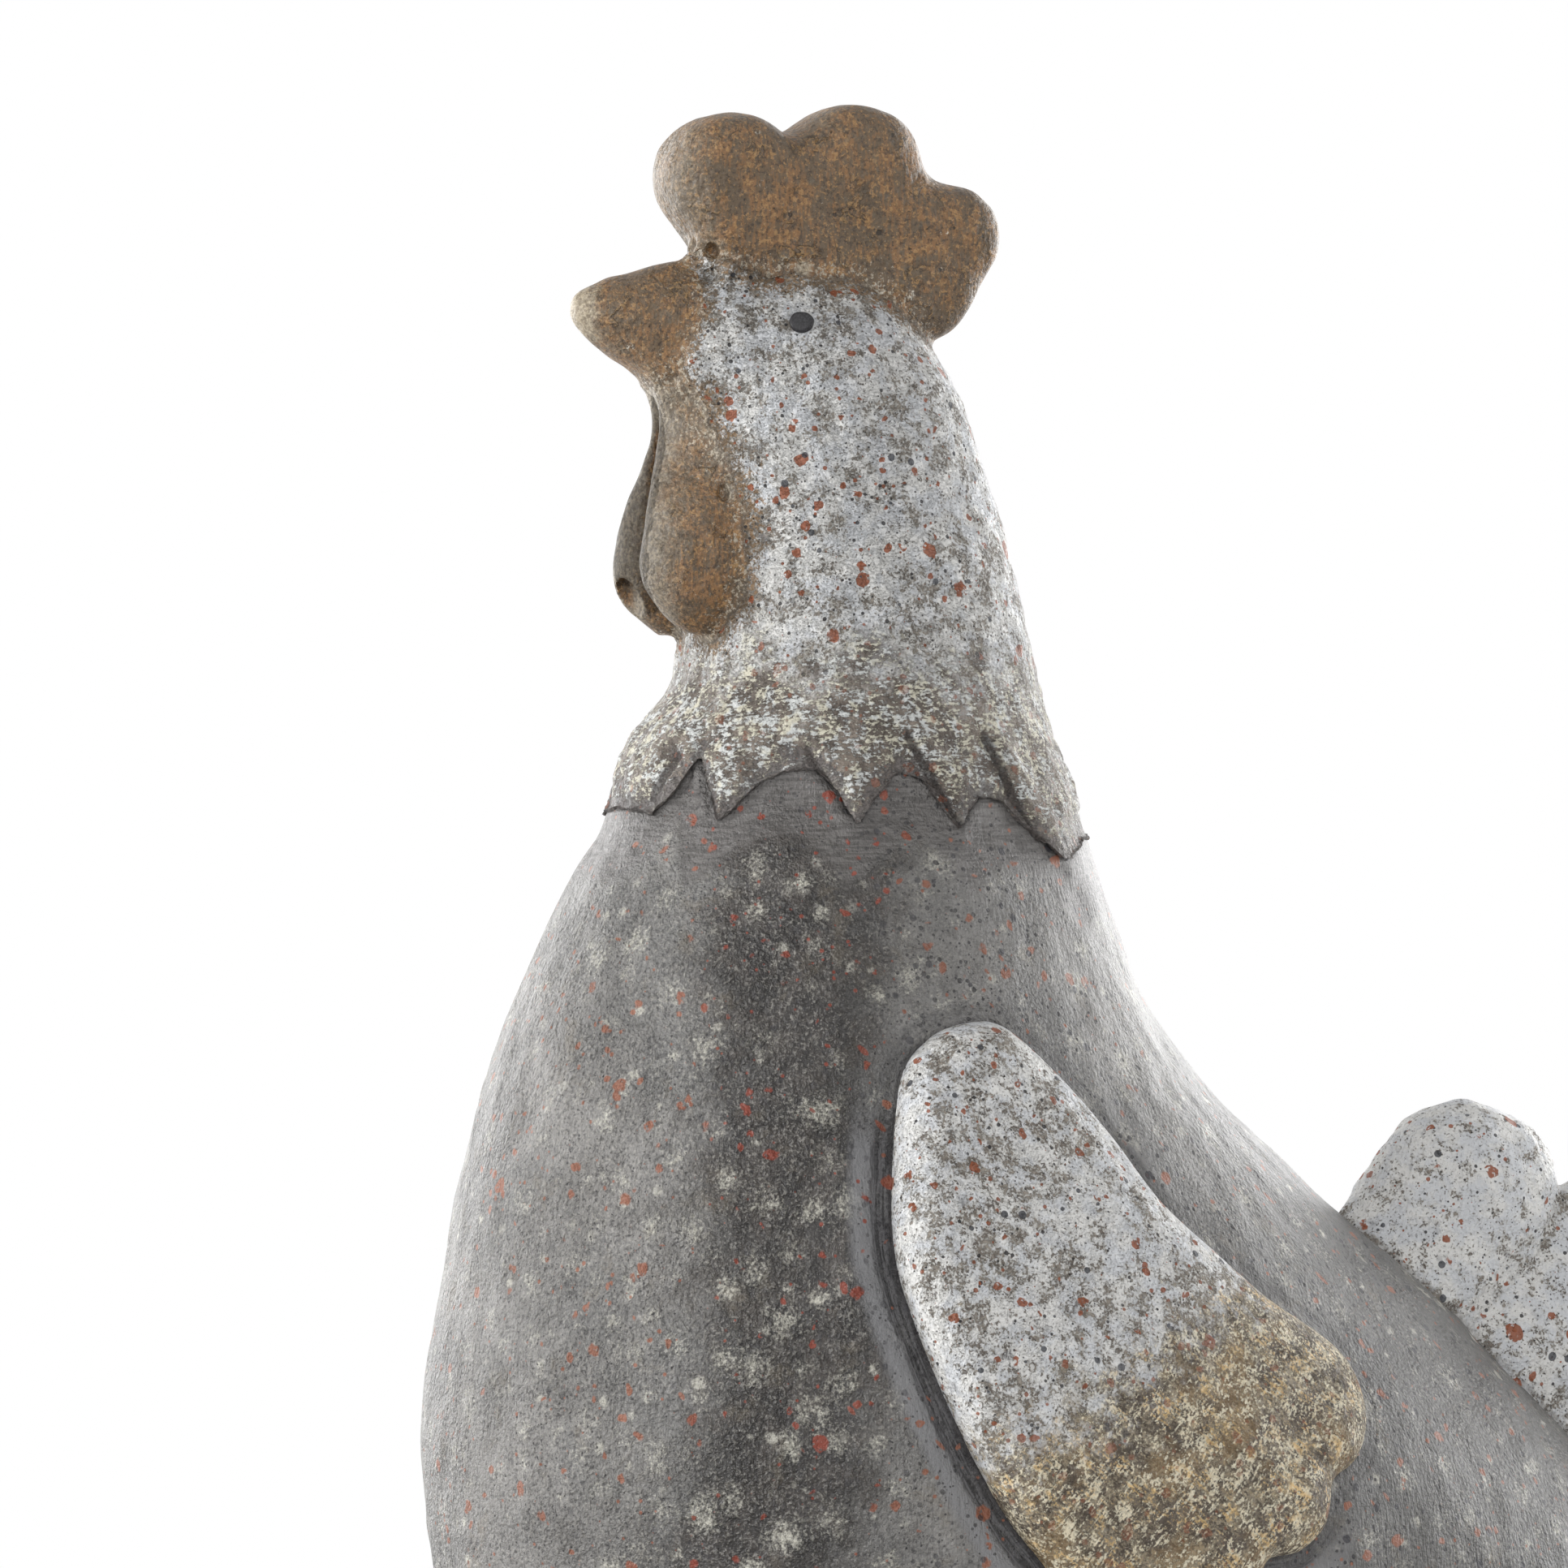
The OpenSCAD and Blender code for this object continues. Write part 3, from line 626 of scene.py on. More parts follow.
class Paint(Nodes):
    """A material whose patterns lie on the figure's own coordinates. Sizes are in millimetres."""

    def __init__(self, name):
        self.material = bpy.data.materials.new(name)
        self.material.use_nodes = True
        super().__init__(self.material.node_tree)
        self.shader = self.tree.nodes["Principled BSDF"]
        self.place = self.node("ShaderNodeTexCoord").outputs["Object"]
        self.colour = None
        self.heights = []

    def vector(self, operation, a, b):
        return self.node("ShaderNodeVectorMath", {0: a, 1: b}, operation=operation).outputs[0]

    def scaled(self, size, stretch=(1, 1, 1), turn=(0, 0, 0), shift=0.0, place=None):
        """The place, counted in sizes."""
        inputs = {
            "Vector": place or self.place, "Scale": tuple(size * MM * s for s in stretch),
            "Rotation": turn, "Location": (shift, shift, shift),
        }
        return self.node("ShaderNodeMapping", inputs, vector_type="TEXTURE").outputs[0]

    def noise(self, size, detail=3.0, rough=0.6, warp=0.0, **placing):
        inputs = {
            "Vector": self.scaled(size, **placing), "Scale": 1.0, "Detail": detail,
            "Roughness": rough, "Distortion": warp,
        }
        return self.number("ShaderNodeTexNoise", inputs)

    def mix(self, share, a, b, blend="MIX"):
        """Goes from colour a to b. Each is a node's colour, or is written from 0 to 255."""
        made = self.node("ShaderNodeMix", data_type="RGBA", blend_type=blend)
        for key, value in ((0, share), (6, a), (7, b)):
            self.put(made.inputs[key], srgb(*value) if isinstance(value, tuple) else value)
        return made.outputs[2]

    def lay(self, share, tone):
        """Lays a tone over the colour so far."""
        self.colour = self.mix(share, self.colour, tone)

    def ragged(self, size, reach):
        """The place, moved about by up to a reach, so that round shapes turn uneven."""
        shaken = self.node("ShaderNodeTexNoise", {"Vector": self.scaled(size), "Scale": 1.0, "Detail": 2.0})
        offset = self.vector("SUBTRACT", shaken.outputs["Color"], (0.5, 0.5, 0.5))
        return self.vector("ADD", self.place, self.vector("MULTIPLY", offset, (reach * 2 * MM,) * 3))

    def drops(self, size, least, most, share, soft=0.12, place=None, **placing):
        """Spots of flicked paint with radii from least to most. A lump of each size holds one at most."""
        at = self.scaled(size, place=place, **placing)
        cell = self.node("ShaderNodeTexVoronoi", {"Vector": at, "Scale": 1.0, "Randomness": 1.0}).outputs
        picked = self.split("ShaderNodeSeparateColor", cell["Color"])
        radius = (picked[1] * picked[1]).line(least / size, most / size)
        left_out = self.maths("GREATER_THAN", picked[0], share)
        within = radius - left_out - cell["Distance"]
        return self.number("ShaderNodeMapRange", {0: within, 1: 0.0, 2: soft / size})

    def axes(self):
        return self.split("ShaderNodeSeparateXYZ", self.place)

    def marks(self):
        """The three marks that were painted on the mesh."""
        layer = self.node("ShaderNodeAttribute", attribute_name="marks")
        return self.split("ShaderNodeSeparateColor", layer.outputs["Color"])

    def value(self, name):
        """A named number that was painted on the mesh."""
        return Value(self, self.node("ShaderNodeAttribute", attribute_name=name).outputs["Fac"])

    def lift(self, *heights):
        """Adds relief, in millimetres."""
        self.heights += heights

    def finish(self, rough, specular):
        bump = {"Height": sum(self.heights[1:], self.heights[0]), "Strength": 1.0, "Distance": MM}
        self.put(self.shader.inputs["Base Color"], self.colour)
        self.put(self.shader.inputs["Roughness"], rough)
        self.put(self.shader.inputs["Specular IOR Level"], specular)
        self.put(self.shader.inputs["Normal"], self.node("ShaderNodeBump", bump).outputs[0])
        return self.material

    def spatter(self, rust, black, soft=0.1, tones=(RUST, SMOKE), body=False, held=1.0, spared=None):
        """Rust and black drops. The body's black drops are larger, and held is how far they show.

        Where spared is 1, all drops show half.
        """
        rust_tone, dark_tone = tones
        plain = self.colour
        near = self.ragged(0.9, 0.16)
        far = self.ragged(3.2, 1.5)
        specks = self.drops(1.3, 0.1, 0.42 if body else 0.38, 0.7 * black, 0.08, near)
        self.lay(specks * 0.85, BLACK)
        size, most = (2.1, 0.85) if body else (2.5, 0.68)
        pins = self.drops(size, 0.2, most, 0.85 * black, 0.1, near, shift=0.17)
        self.lay(pins * 0.92 * held, BLACK)
        small = self.drops(2.8, 0.25, 0.75, 0.5 * rust, soft, near, shift=0.31)
        self.lay(small * 0.9, rust_tone)
        middle = self.drops(5.4, 0.7, 1.6, 0.75 * rust, soft * 1.5, far, shift=0.63)
        worn = self.noise(2.0, shift=0.4).ramp(0.32, 0.42)
        self.lay(middle * worn * 0.94, rust_tone)
        large = self.drops(10.5, 1.3, 2.7, 0.6 * rust, soft * 2, far, shift=0.77)
        self.lay(large * worn * 0.94, rust_tone)
        if body:
            tilt = (0, math.radians(-42), 0)
            thrown = self.drops(5.5, 0.4, 0.95, 0.3, soft, near, stretch=(1, 1, 3.2), turn=tilt)
            self.lay(thrown * 0.85, rust_tone)
        dark = self.drops(4.0 if body else 5.6, 0.4, 1.4, 0.5 * black, soft, near, shift=0.53)
        self.lay(dark * 0.9 * held, dark_tone)
        if spared:
            self.colour = self.mix(1 - spared * 0.5, plain, self.colour)


def body_paint():
    p = Paint("body_grey")
    zone, dots, shade = p.marks()
    edge = p.value("edge")
    deep = p.value("deep")
    x = p.axes()[0]
    salt = p.noise(1.15, 2.2, warp=0.3)
    pepper = p.noise(0.8, 2.0, shift=0.5)
    lumps = p.noise(3.0, 2.5, shift=0.2)
    patches = p.noise(34)
    blotches = p.noise(9, 5.0, 0.65, shift=0.2)
    strokes = p.noise(1.0, stretch=(1, 1, 11))
    rubbed = p.noise(24, shift=0.6).ramp(0.4, 0.62) + x.ramp(-0.03, -0.11, 0.0, 0.45)
    # Painted shade under the hackle's hem, where the body steps in below it
    under = (shade + lumps.swing(0.5)).ramp(0.2, 0.75)
    channel = deep * edge.ramp(14.0, 10.0) * edge.ramp(4.0, 6.0)
    calm = 1.0 - p.maths("MAXIMUM", under * 0.85, channel * 0.9)

    # Grey, with a dark brown zone on the breast
    grey = p.mix(patches.ramp(0.38, 0.62), (107, 106, 104), (131, 129, 126))
    grey = p.mix(blotches.ramp(0.52, 0.7, 0.0, 0.5), grey, (116, 114, 110))
    # Darker towards the tail: painted shade on the back of the body
    grey = p.mix(x.ramp(0.0, 0.08), grey, (88, 87, 85))
    brown = p.mix(blotches.ramp(0.4, 0.62), (34, 31, 29), (66, 61, 57))
    dark = (zone + patches.swing(1.2) + blotches.swing(1.0) + salt.swing(0.6)).ramp(0.2, 0.8)
    p.colour = p.mix(dark, grey, brown)

    # Grains: dark pits, partly painted shade in the grain's hollows, and pale tops, partly painted highlight
    # on its bumps
    shaded_pits = (salt + pepper.swing(0.35)).ramp(0.45, 0.34)
    p.lay(shaded_pits * rubbed.line(0.25, 0.6) * calm, (36, 33, 32))
    lit_tops = (salt * 0.5 + pepper * 0.5).ramp(0.5, 0.63)
    p.lay(lit_tops * rubbed.line(0.12, 0.5) * calm, (166, 163, 156))
    p.lay(strokes.ramp(0.5, 0.7, 0.0, 0.4) * calm, (84, 82, 82))

    # Pale glaze: the large dots and smaller flicked ones
    mist = dots * 0.7 + p.noise(1.0, 4.0, 0.7, shift=2.7).swing(2.2) + lumps.swing(0.8)
    p.lay(mist.ramp(0.12, 0.95) * dots.ramp(0.03, 0.3) * 0.9, (206, 203, 190))
    small = p.drops(6.4, 1.0, 3.0, 0.85, 1.8, p.ragged(2.0, 0.8), shift=0.9)
    flicked = small * 0.8 + p.noise(0.9, 4.0, 0.7, shift=2.2).swing(2.0)
    spread = p.noise(30, shift=1.7).ramp(0.4, 0.58, 0.3, 0.85) + x.ramp(0.03, 0.09, 0.0, 0.35)
    p.lay(flicked.ramp(0.2, 0.95) * small.ramp(0.02, 0.3) * spread * calm, (190, 187, 176))
    p.lay(p.noise(13, 4.0, 0.65, shift=1.3).ramp(0.58, 0.72, 0.0, 0.4), (112, 103, 88))

    # Painted shade with dragged strokes under the hem, and beside the wing the grey channel, the dark band of
    # brush marks and painted shade, and painted shade in the crease at its edge
    dragged = p.noise(0.9, stretch=(9, 9, 1))
    p.lay(under * 0.85, p.mix(dragged.ramp(0.4, 0.6), (76, 73, 71), (106, 103, 101)))
    p.lay(channel * 0.85, (128, 128, 130))
    at = p.node("ShaderNodeCombineXYZ", {0: edge * 1.4, 1: patches * 9.0, 2: x * 25.0}).outputs[0]
    brushed = p.number("ShaderNodeTexNoise", {"Vector": at, "Scale": 1.0, "Detail": 4.0})
    # The dark band: dark brush marks, with painted shade in the groove beside the wing
    band = deep.line(0.3, 1.0) * (edge + blotches.swing(3.0)).ramp(6.5, 5.0)
    p.lay(band * 0.92, p.mix(brushed.ramp(0.42, 0.58), (44, 43, 45), (92, 91, 93)))
    # Painted shade in the crease along the wing's edge
    p.lay(deep.line(0.35, 0.9) * edge.ramp(2.0, 0.6), (50, 47, 48))

    hot = p.mix(dark, SALMON, (130, 54, 35))
    p.spatter(0.85, 1.2, 0.22, (hot, (50, 49, 54)), True, x.ramp(-0.1, -0.02, 0.4, 1.0))
    coarse = p.noise(28, shift=3.1).ramp(0.4, 0.6).line(0.5, 1.0) * calm.line(0.4, 1.0)
    coarse = coarse * x.ramp(0.0, -0.05, 0.3, 1.0)
    p.lift(salt * coarse * 2.0, pepper * coarse * 0.25, strokes * 0.5)
    p.lift(lumps * coarse * 1.8, band * brushed * -0.9)
    return p.finish(salt.line(0.34, 0.54), 0.5)


def chipped_white(p, worn, size, deepest=(96, 87, 78)):
    """White paint, pitted, and thin over an earthy coat where worn is high. Returns where it is off."""
    wear = p.noise(size, 7.0, 0.74, shift=0.15) + worn
    fine = p.noise(1.1, 4.0, 0.7, shift=0.45)
    grain = p.noise(0.8, 3.0, 0.62, shift=0.85)
    thin = (wear + fine.swing(0.2)).ramp(0.46, 0.6)
    gone = (grain + thin * 0.17).ramp(0.605, 0.675)
    hue = p.noise(8, shift=0.3)
    earth = p.noise(3.0, 5.0, 0.7, shift=0.9)
    p.colour = p.mix(hue.ramp(0.4, 0.6), (209, 211, 214), (225, 224, 221))
    p.lay(thin * 0.62, p.mix(hue.ramp(0.42, 0.58), (172, 164, 149), (184, 181, 175)))
    p.lay(gone * 0.9, p.mix(earth.ramp(0.4, 0.6), deepest, (150, 142, 131)))
    p.lay(p.noise(7.0, 4.0, 0.65, shift=1.7).ramp(0.6, 0.7, 0.0, 0.45), (140, 141, 145))
    p.lift((1.0 - gone) * 0.3, p.noise(1.6, 2.0, 0.55, shift=0.45) * 0.8)
    p.lift(p.noise(3.4, 2.5, shift=0.7) * 1.5, grain * 0.2)
    return gone


def head_paint():
    p = Paint("head_white")
    crease, _, feather_shade = p.marks()
    near = p.value("near")
    x, _, z = p.axes()
    hue = p.noise(9, 4.0, 0.65, shift=0.3)
    halves = hue.ramp(0.42, 0.58)
    worn = crease * 0.1 + x.ramp(-0.06, -0.02) * 0.01 + near * 0.05 - 0.01
    gone = chipped_white(p, worn, 7.5, (104, 96, 87))
    # Painted light: the head's white turns lighter towards the back
    behind = p.mix(x.ramp(-0.05, -0.01), (241, 241, 241), (253, 253, 253))
    p.colour = p.mix(1.0, p.colour, behind, "MULTIPLY")

    # The cape: pale crumbs of thick paint dragged over a tan coat, greyed along its hem
    tan = p.mix(halves, (94, 86, 79), (130, 120, 110))
    cream = p.mix(p.noise(5.0, 2.0, 0.55, shift=0.2).ramp(0.42, 0.58), (216, 211, 192), (218, 220, 218))
    rows = p.noise(0.8, stretch=(8, 8, 1), shift=0.2)
    cover = rows.swing(0.3) + z.ramp(0.3, 0.285, 0.01, -0.03)
    crumbs = p.noise(1.05, 5.0, 0.72, stretch=(1.5, 1.5, 0.9))
    kept = (crumbs + p.noise(6.0, shift=0.65).swing(0.45) + cover).ramp(0.5, 0.545)
    p.lift(kept * crumbs * 0.7)
    greyed = (p.value("tip") * 0.26 + p.noise(2.2, 5.0, 0.7, shift=1.1)).ramp(0.6, 0.68, 0.0, 0.85)
    low = (z + hue.swing(0.07)).ramp(0.345, 0.322)
    p.lay(low, p.mix(greyed, p.mix(kept, tan, cream), (106, 101, 99)))

    # Brown smeared over from the beak and comb, darker along the seams and in the holes, and painted shade
    # beside the feathers' raised edges
    smeared = (near * 0.24 + p.noise(1.2, 4.0, 0.7, shift=1.9)).ramp(0.67, 0.74)
    p.lay(smeared * 0.85, p.mix(halves, (112, 93, 70), (146, 118, 86)))
    crease_noise = p.noise(1.3, shift=0.25)
    p.lay((crease + crease_noise.swing(2.4)).ramp(0.7, 1.2) * 0.7, (104, 94, 82))
    # Painted shade in the undercut beside each feather's raised edge
    p.lay((feather_shade + crease_noise.swing(0.5)).ramp(0.3, 0.8) * 0.85, (66, 60, 57))
    p.spatter(1.0, 1.0, spared=low)
    p.lift(p.drops(4.2, 0.3, 0.9, 0.35, shift=0.9) * -0.9)
    return p.finish(gone.line(0.5, 0.68), 0.35)


def brown_paint(name, warm, base, pale_and_lit_share):
    """Brass-brown paint, brushed and rubbed. Warm is how orange it is, and pale_and_lit_share how much paler
    it is in front, partly paler paint and partly painted light.
    """
    p = Paint(name)
    crease, worn_mark, _ = p.marks()
    patches = p.noise(6.5, 7.0, 0.74, shift=0.1)
    strokes = p.noise(0.9, stretch=(1, 1, 7), shift=0.3)
    crumbs = p.noise(1.3, 5.0, 0.75, shift=0.6)
    flecks = p.noise(1.1, 3.0, 0.65, shift=1.4)
    halves = flecks.ramp(0.42, 0.58)
    dirt = p.noise(4.0, 6.0, 0.7, shift=1.1)
    tone = patches.swing(1.1) + strokes.swing(0.9) + p.noise(20, shift=0.9).swing(0.6)
    p.colour = p.mix(tone.ramp(0.04 - warm * 0.3, 0.3 - warm * 0.3), base, (136, 101, 66))
    p.lay((flecks + patches.swing(0.5)).ramp(0.55, 0.62, 0.0, 0.8), (166, 130, 86))
    p.lay(crumbs.ramp(0.5, 0.4, 0.0, 0.8), (60, 48, 38))
    p.lay(dirt.ramp(0.53, 0.66, 0.0, 0.5), (98, 91, 78))

    # Flakes with pale rims, partly painted highlight, and dark feet, partly painted shade; small holes, and
    # chips down to the white
    torn = p.ragged(1.0, 0.75)
    layers = p.noise(9, 6.0, 0.62, warp=0.4, shift=2.3)
    flaking = p.noise(16, shift=2.9).ramp(0.5, 0.6)
    pale_and_lit_rims = flaking * layers.ramp(0.487, 0.5) * layers.ramp(0.535, 0.515) * flecks.ramp(0.4, 0.52)
    p.lay(pale_and_lit_rims * 0.6, (172, 138, 92))
    p.lay(flaking * layers.ramp(0.44, 0.48) * layers.ramp(0.492, 0.486) * 0.6, (70, 58, 46))
    holes = p.drops(4.4, 0.2, 0.8, 0.3, place=torn, shift=0.35)
    p.lay(holes * 0.85, (46, 39, 32))
    chips = p.drops(9.0, 0.8, 2.4, 0.25, place=torn, shift=0.85) * flecks.ramp(0.52, 0.6)
    p.lay(chips * 0.85, (206, 200, 186))

    # Paler where it faces forward, partly paler paint and partly painted light on the forward faces; paler
    # where worn, mixed with white at its edges, and dark in the creases
    ahead = p.split("ShaderNodeSeparateXYZ", p.node("ShaderNodeNewGeometry").outputs["Normal"])[0]
    pale_and_lit_front = (ahead * -1.0 + crumbs.swing(0.9) + dirt.swing(0.6)).ramp(0.3, 0.9)
    p.lay(pale_and_lit_front * pale_and_lit_share, p.mix(halves, (98, 90, 78), (136, 126, 109)))
    rubbed = (worn_mark + dirt.swing(1.2) + crumbs.swing(0.8)).ramp(0.35, 0.85)
    p.lay(rubbed * 0.75, p.mix(halves, (146, 134, 114), (184, 172, 150)))
    mixed = (p.value("near") * 0.16 + p.noise(1.1, 4.0, 0.7, shift=2.1)).ramp(0.66, 0.74)
    p.lay(mixed * 0.75, (186, 176, 158))
    p.lay((crease + crumbs.swing(2.0)).ramp(0.6, 1.1) * 0.8, (66, 56, 45))
    p.lift(p.noise(1.8, 2.0, 0.55, shift=0.6) * 0.55, strokes * 0.2, flecks * 0.4)
    p.lift(flaking * layers.ramp(0.475, 0.51) * 0.5, p.noise(4.5, 2.5, shift=0.8), holes * -0.8)
    return p.finish(patches.line(0.36, 0.52), 0.45)


def wing_paint():
    p = Paint("wing_white")
    low_mark, groove, clean = p.marks()
    hue = p.noise(9, 4.0, 0.65, shift=0.3)
    earth = p.noise(4.5, 4.0, 0.65, shift=0.9)
    slant = p.noise(0.8, 4.0, 0.65, stretch=(8, 1, 1), turn=(0, math.radians(38), 0))
    crossing = p.noise(0.8, 4.0, 0.65, stretch=(7, 1, 1), turn=(0, math.radians(-48), 0), shift=0.5)
    bits = p.noise(0.9, 5.0, 0.72, shift=0.35) + p.noise(6, shift=1.6).swing(0.55)

    # The brown lower part, with cream and gold dragged across it
    p.colour = p.mix(earth.ramp(0.42, 0.58), (104, 94, 82), (150, 139, 119))
    p.lay((bits + slant.swing(0.5)).ramp(0.46, 0.38, 0.0, 0.85), (72, 62, 52))
    p.lay(p.noise(20, shift=0.5).ramp(0.5, 0.62, 0.0, 0.4), (156, 128, 86))
    p.lay(p.noise(14, 4.0, shift=2.4).ramp(0.52, 0.64, 0.0, 0.65), (88, 78, 70))
    creamy = (bits + crossing.swing(0.7) + earth.swing(-0.3)).ramp(0.515, 0.55)
    p.lay(creamy * 0.9, (234, 226, 202))
    golden = p.noise(9, 3.0, 0.55, shift=0.7).ramp(0.45, 0.6)
    p.lay((bits + slant.swing(0.7)).ramp(0.54, 0.58) * golden.line(0.15, 0.9), (222, 188, 132))
    lower = p.colour

    broad = p.noise(24, 2.0, 0.55, shift=0.1).swing(0.16)
    gone = chipped_white(p, broad + clean * -0.07 + 0.02, 5.2)
    p.lift(creamy * 0.4)
    ragged = p.noise(3.5, 5.0, 0.7, shift=1.2)
    fade = (low_mark + hue.swing(1.0) + ragged.swing(1.3)).ramp(0.25, 0.8)
    p.lay(fade, lower)
    p.lay((groove + bits.swing(0.8)).ramp(0.5, 1.1, 0.0, 0.7), (84, 75, 66))
    p.spatter(0.9, 0.8, spared=fade)
    return p.finish(gone.line(0.5, 0.68), 0.35)


def tail_paint():
    p = Paint("tail_white")
    crease = p.marks()[0]
    gone = chipped_white(p, crease * 0.08 - 0.05, 6.0)
    crease_noise = p.noise(1.3, shift=0.25)
    p.lay((crease + crease_noise.swing(1.2)).ramp(0.6, 1.1) * 0.5, (104, 98, 92))
    p.spatter(0.6, 0.8)
    p.lift(p.noise(1.3, 4.0, 0.7, stretch=(1, 1, 3), turn=(0, math.radians(35), 0)) * 0.6)
    return p.finish(gone.line(0.5, 0.68), 0.35)


def eye_paint():
    p = Paint("eye_black")
    strokes = p.noise(0.6)
    p.colour = p.mix(strokes.ramp(0.4, 0.7), (31, 30, 32), (54, 53, 56))
    p.lift(strokes * 0.12)
    return p.finish(strokes.line(0.35, 0.5), 0.35)


def clay_paint():
    p = Paint("base_clay")
    grain = p.noise(1.5, 4.0, 0.7)
    p.colour = p.mix(p.noise(30, 4.0).ramp(0.4, 0.62), (150, 141, 130), (173, 166, 155))
    p.lay(grain.ramp(0.5, 0.7, 0.0, 0.5), (128, 119, 108))
    p.lift(grain * 0.5, p.drops(9.0, 0.3, 1.3, 0.6) * -0.8)
    return p.finish(grain.line(0.75, 0.9), 0.2)


def tape_paint():
    p = Paint("fibre_tape")
    wave = p.node("ShaderNodeTexWave", {"Vector": p.scaled(2.0), "Scale": 3.0, "Distortion": 1.0})
    weave = Value(p, wave.outputs[1])
    p.colour = p.mix(weave, (182, 176, 158), (214, 209, 194))
    p.lift(weave * 0.2)
    return p.finish(0.9, 0.1)


def steel_paint():
    p = Paint("rod_steel")
    lines = p.noise(0.8, stretch=(1, 1, 20))
    p.colour = p.mix(lines, (150, 150, 152), (190, 190, 192))
    p.put(p.shader.inputs["Metallic"], 1.0)
    p.lift(lines * 0.03)
    return p.finish(lines.line(0.3, 0.5), 0.5)


# The body, in one piece over both shells, as its seam is filled and painted
def body_levels(count):
    """Heights up the outside of the body, evenly spread along its outline."""
    z = np.linspace(0, NECK_RIM_Z, 3000)
    front, back, side, _ = read(FIGURE, z)
    steps = [np.hypot(np.diff(v), np.diff(z)) for v in (front, back, side)]
    gone = np.concatenate([[0], np.cumsum(np.mean(steps, 0))])
    return np.interp(np.linspace(0, gone[-1], count), gone, z)


# The dark band down the side of the breast: places seen from the side, and how wide it is there
BAND = np.array(((-74, 292), (-82, 262), (-90, 225), (-92, 175), (-98, 130), (-108, 92)), float)
BAND_WIDTH = 26.0
DOT_SPACING = 9.5
DOT_TRIES = 6000
# Beside the wing run a groove and a swell: how far out each lies, how wide it is, and how high
BESIDE_WING = ((3.0, 3.0, -2.2), (13.0, 5.0, 1.0))
# The skin is set in by this much, so that dents and swells stay within the CAD model
SKIN_INSET = 0.7
# A distance from the wing that is as good as none near it
FAR = 99.0
BODY_COLUMNS = 460
BODY_LEVELS = 196
# Relief: the sizes of its bumps and their heights, layer by layer
BODY_RELIEF = ((90.0, 38.0, 15.0, 6.0), (1.6, 0.8, 0.5, 0.25))
BODY_STREAKS = ((7.0, 4.0), (0.3, 0.2))
# The groove and the dark band lie ahead of the wing under one height, and behind it under another
CHANNEL_AHEAD_Z = 218.0
CHANNEL_BEHIND_Z = 104.0
# From here forward the breast is set in once more
BREAST_FROM_X = -110.0


def dot_places():
    """Places, strengths and radii of the white dots. They keep a distance, and lie thicker in some parts."""
    draw = np.random.default_rng(5)
    kept = []
    for _ in range(DOT_TRIES):
        z = draw.uniform(20, 285)
        angle = draw.uniform(0, 2 * math.pi)
        at = on_section(np.array([z]), np.array([angle]))[0]
        wanted = 0.75 + 0.8 * noise(at[None], 50.0, 3)[0]
        if draw.uniform() > wanted:
            continue
        if all(np.linalg.norm(at - other[0]) > DOT_SPACING for other in kept):
            band = from_line(at[None, [0, 2]], BAND, closed=False)[0]
            share = 0.4 + 0.45 * hump(band, 40) + 0.2 * (at[0] > -20)
            kept.append((at, share * draw.uniform(0.35, 1.2), draw.uniform(2.4, 5.4)))
    return kept


def body_piece():
    columns = BODY_COLUMNS
    levels = body_levels(BODY_LEVELS)
    angles = np.linspace(0, 2 * math.pi, columns, endpoint=False)
    plain = on_section(levels[:, None], angles[None, :], sink(levels)[:, None])
    out = normals_of(plain)
    flat = plain.reshape(-1, 3)
    shown = flat[:, [0, 2]]
    near_wing = from_line(shown, WING_EDGE)
    within = in_wing(shown)
    edge = np.where(within, 0.0, near_wing)
    ahead = ease((WING_MIDDLE[0] + 35 - flat[:, 0]) / 50) * ease((CHANNEL_AHEAD_Z - flat[:, 2]) / 20)
    low_wing = ease((CHANNEL_BEHIND_Z - flat[:, 2]) / 26)
    deep = np.clip(0.12 + np.maximum(ahead, low_wing), 0, 1)
    rise = dents(flat, *BODY_RELIEF, 1)
    rise += dents(flat * (1, 1, 0.3), *BODY_STREAKS, 40)
    for out_by, width, height in BESIDE_WING:
        rise += deep * height * hump(edge - out_by, width)
    rise -= np.where(within, 1.0, 0.0) * np.minimum(near_wing / 3, 1)
    hem = hem_height(np.tile(angles, len(levels)))
    below = hem - flat[:, 2]
    rise *= 1 - 0.8 * hump(below, 12.0)
    rise += 1.4 * hump(below, np.where(below > 0, 5.0, 1.5))
    points = flat + out.reshape(-1, 3) * ((rise - SKIN_INSET) * ease(flat[:, 2] / 6))[:, None]
    points[:, 0] += SKIN_INSET * ease((BREAST_FROM_X - points[:, 0]) / 50)
    points[:, 2] = np.maximum(points[:, 2], 0)
    zone = hump(from_line(shown, BAND, closed=False), BAND_WIDTH)
    dots = np.zeros(len(flat))
    for at, strength, radius in dot_places():
        near = np.flatnonzero(np.abs(flat - at).max(1) < 12)
        away = np.linalg.norm(flat[near] - at, axis=1) * (1 + 0.4 * noise(flat[near], 4.0, 44))
        dots[near] = np.maximum(dots[near], strength * hump(away, radius))
    # Where painted shade falls under the hackle's hem
    shade = ease((26 - below) / 16) * ease((below + 14) / 10)

    # The inner face, from the neck back down to the base
    down = levels[::-10]
    inner = on_section(down[:, None], angles[None, :], WALL + sink(down)[:, None]).reshape(-1, 3)
    marks = np.vstack([np.stack([zone, dots, shade], 1), np.zeros_like(inner)])
    blank = np.zeros(len(inner))
    values = {"edge": np.append(edge, blank + FAR), "deep": np.append(deep, blank)}
    faces = ring_faces(len(levels) + len(down), columns, closed=True)
    return add_mesh("body", np.vstack([points, inner]), faces, marks, values)


# Wings
WING_RIM = 12.0
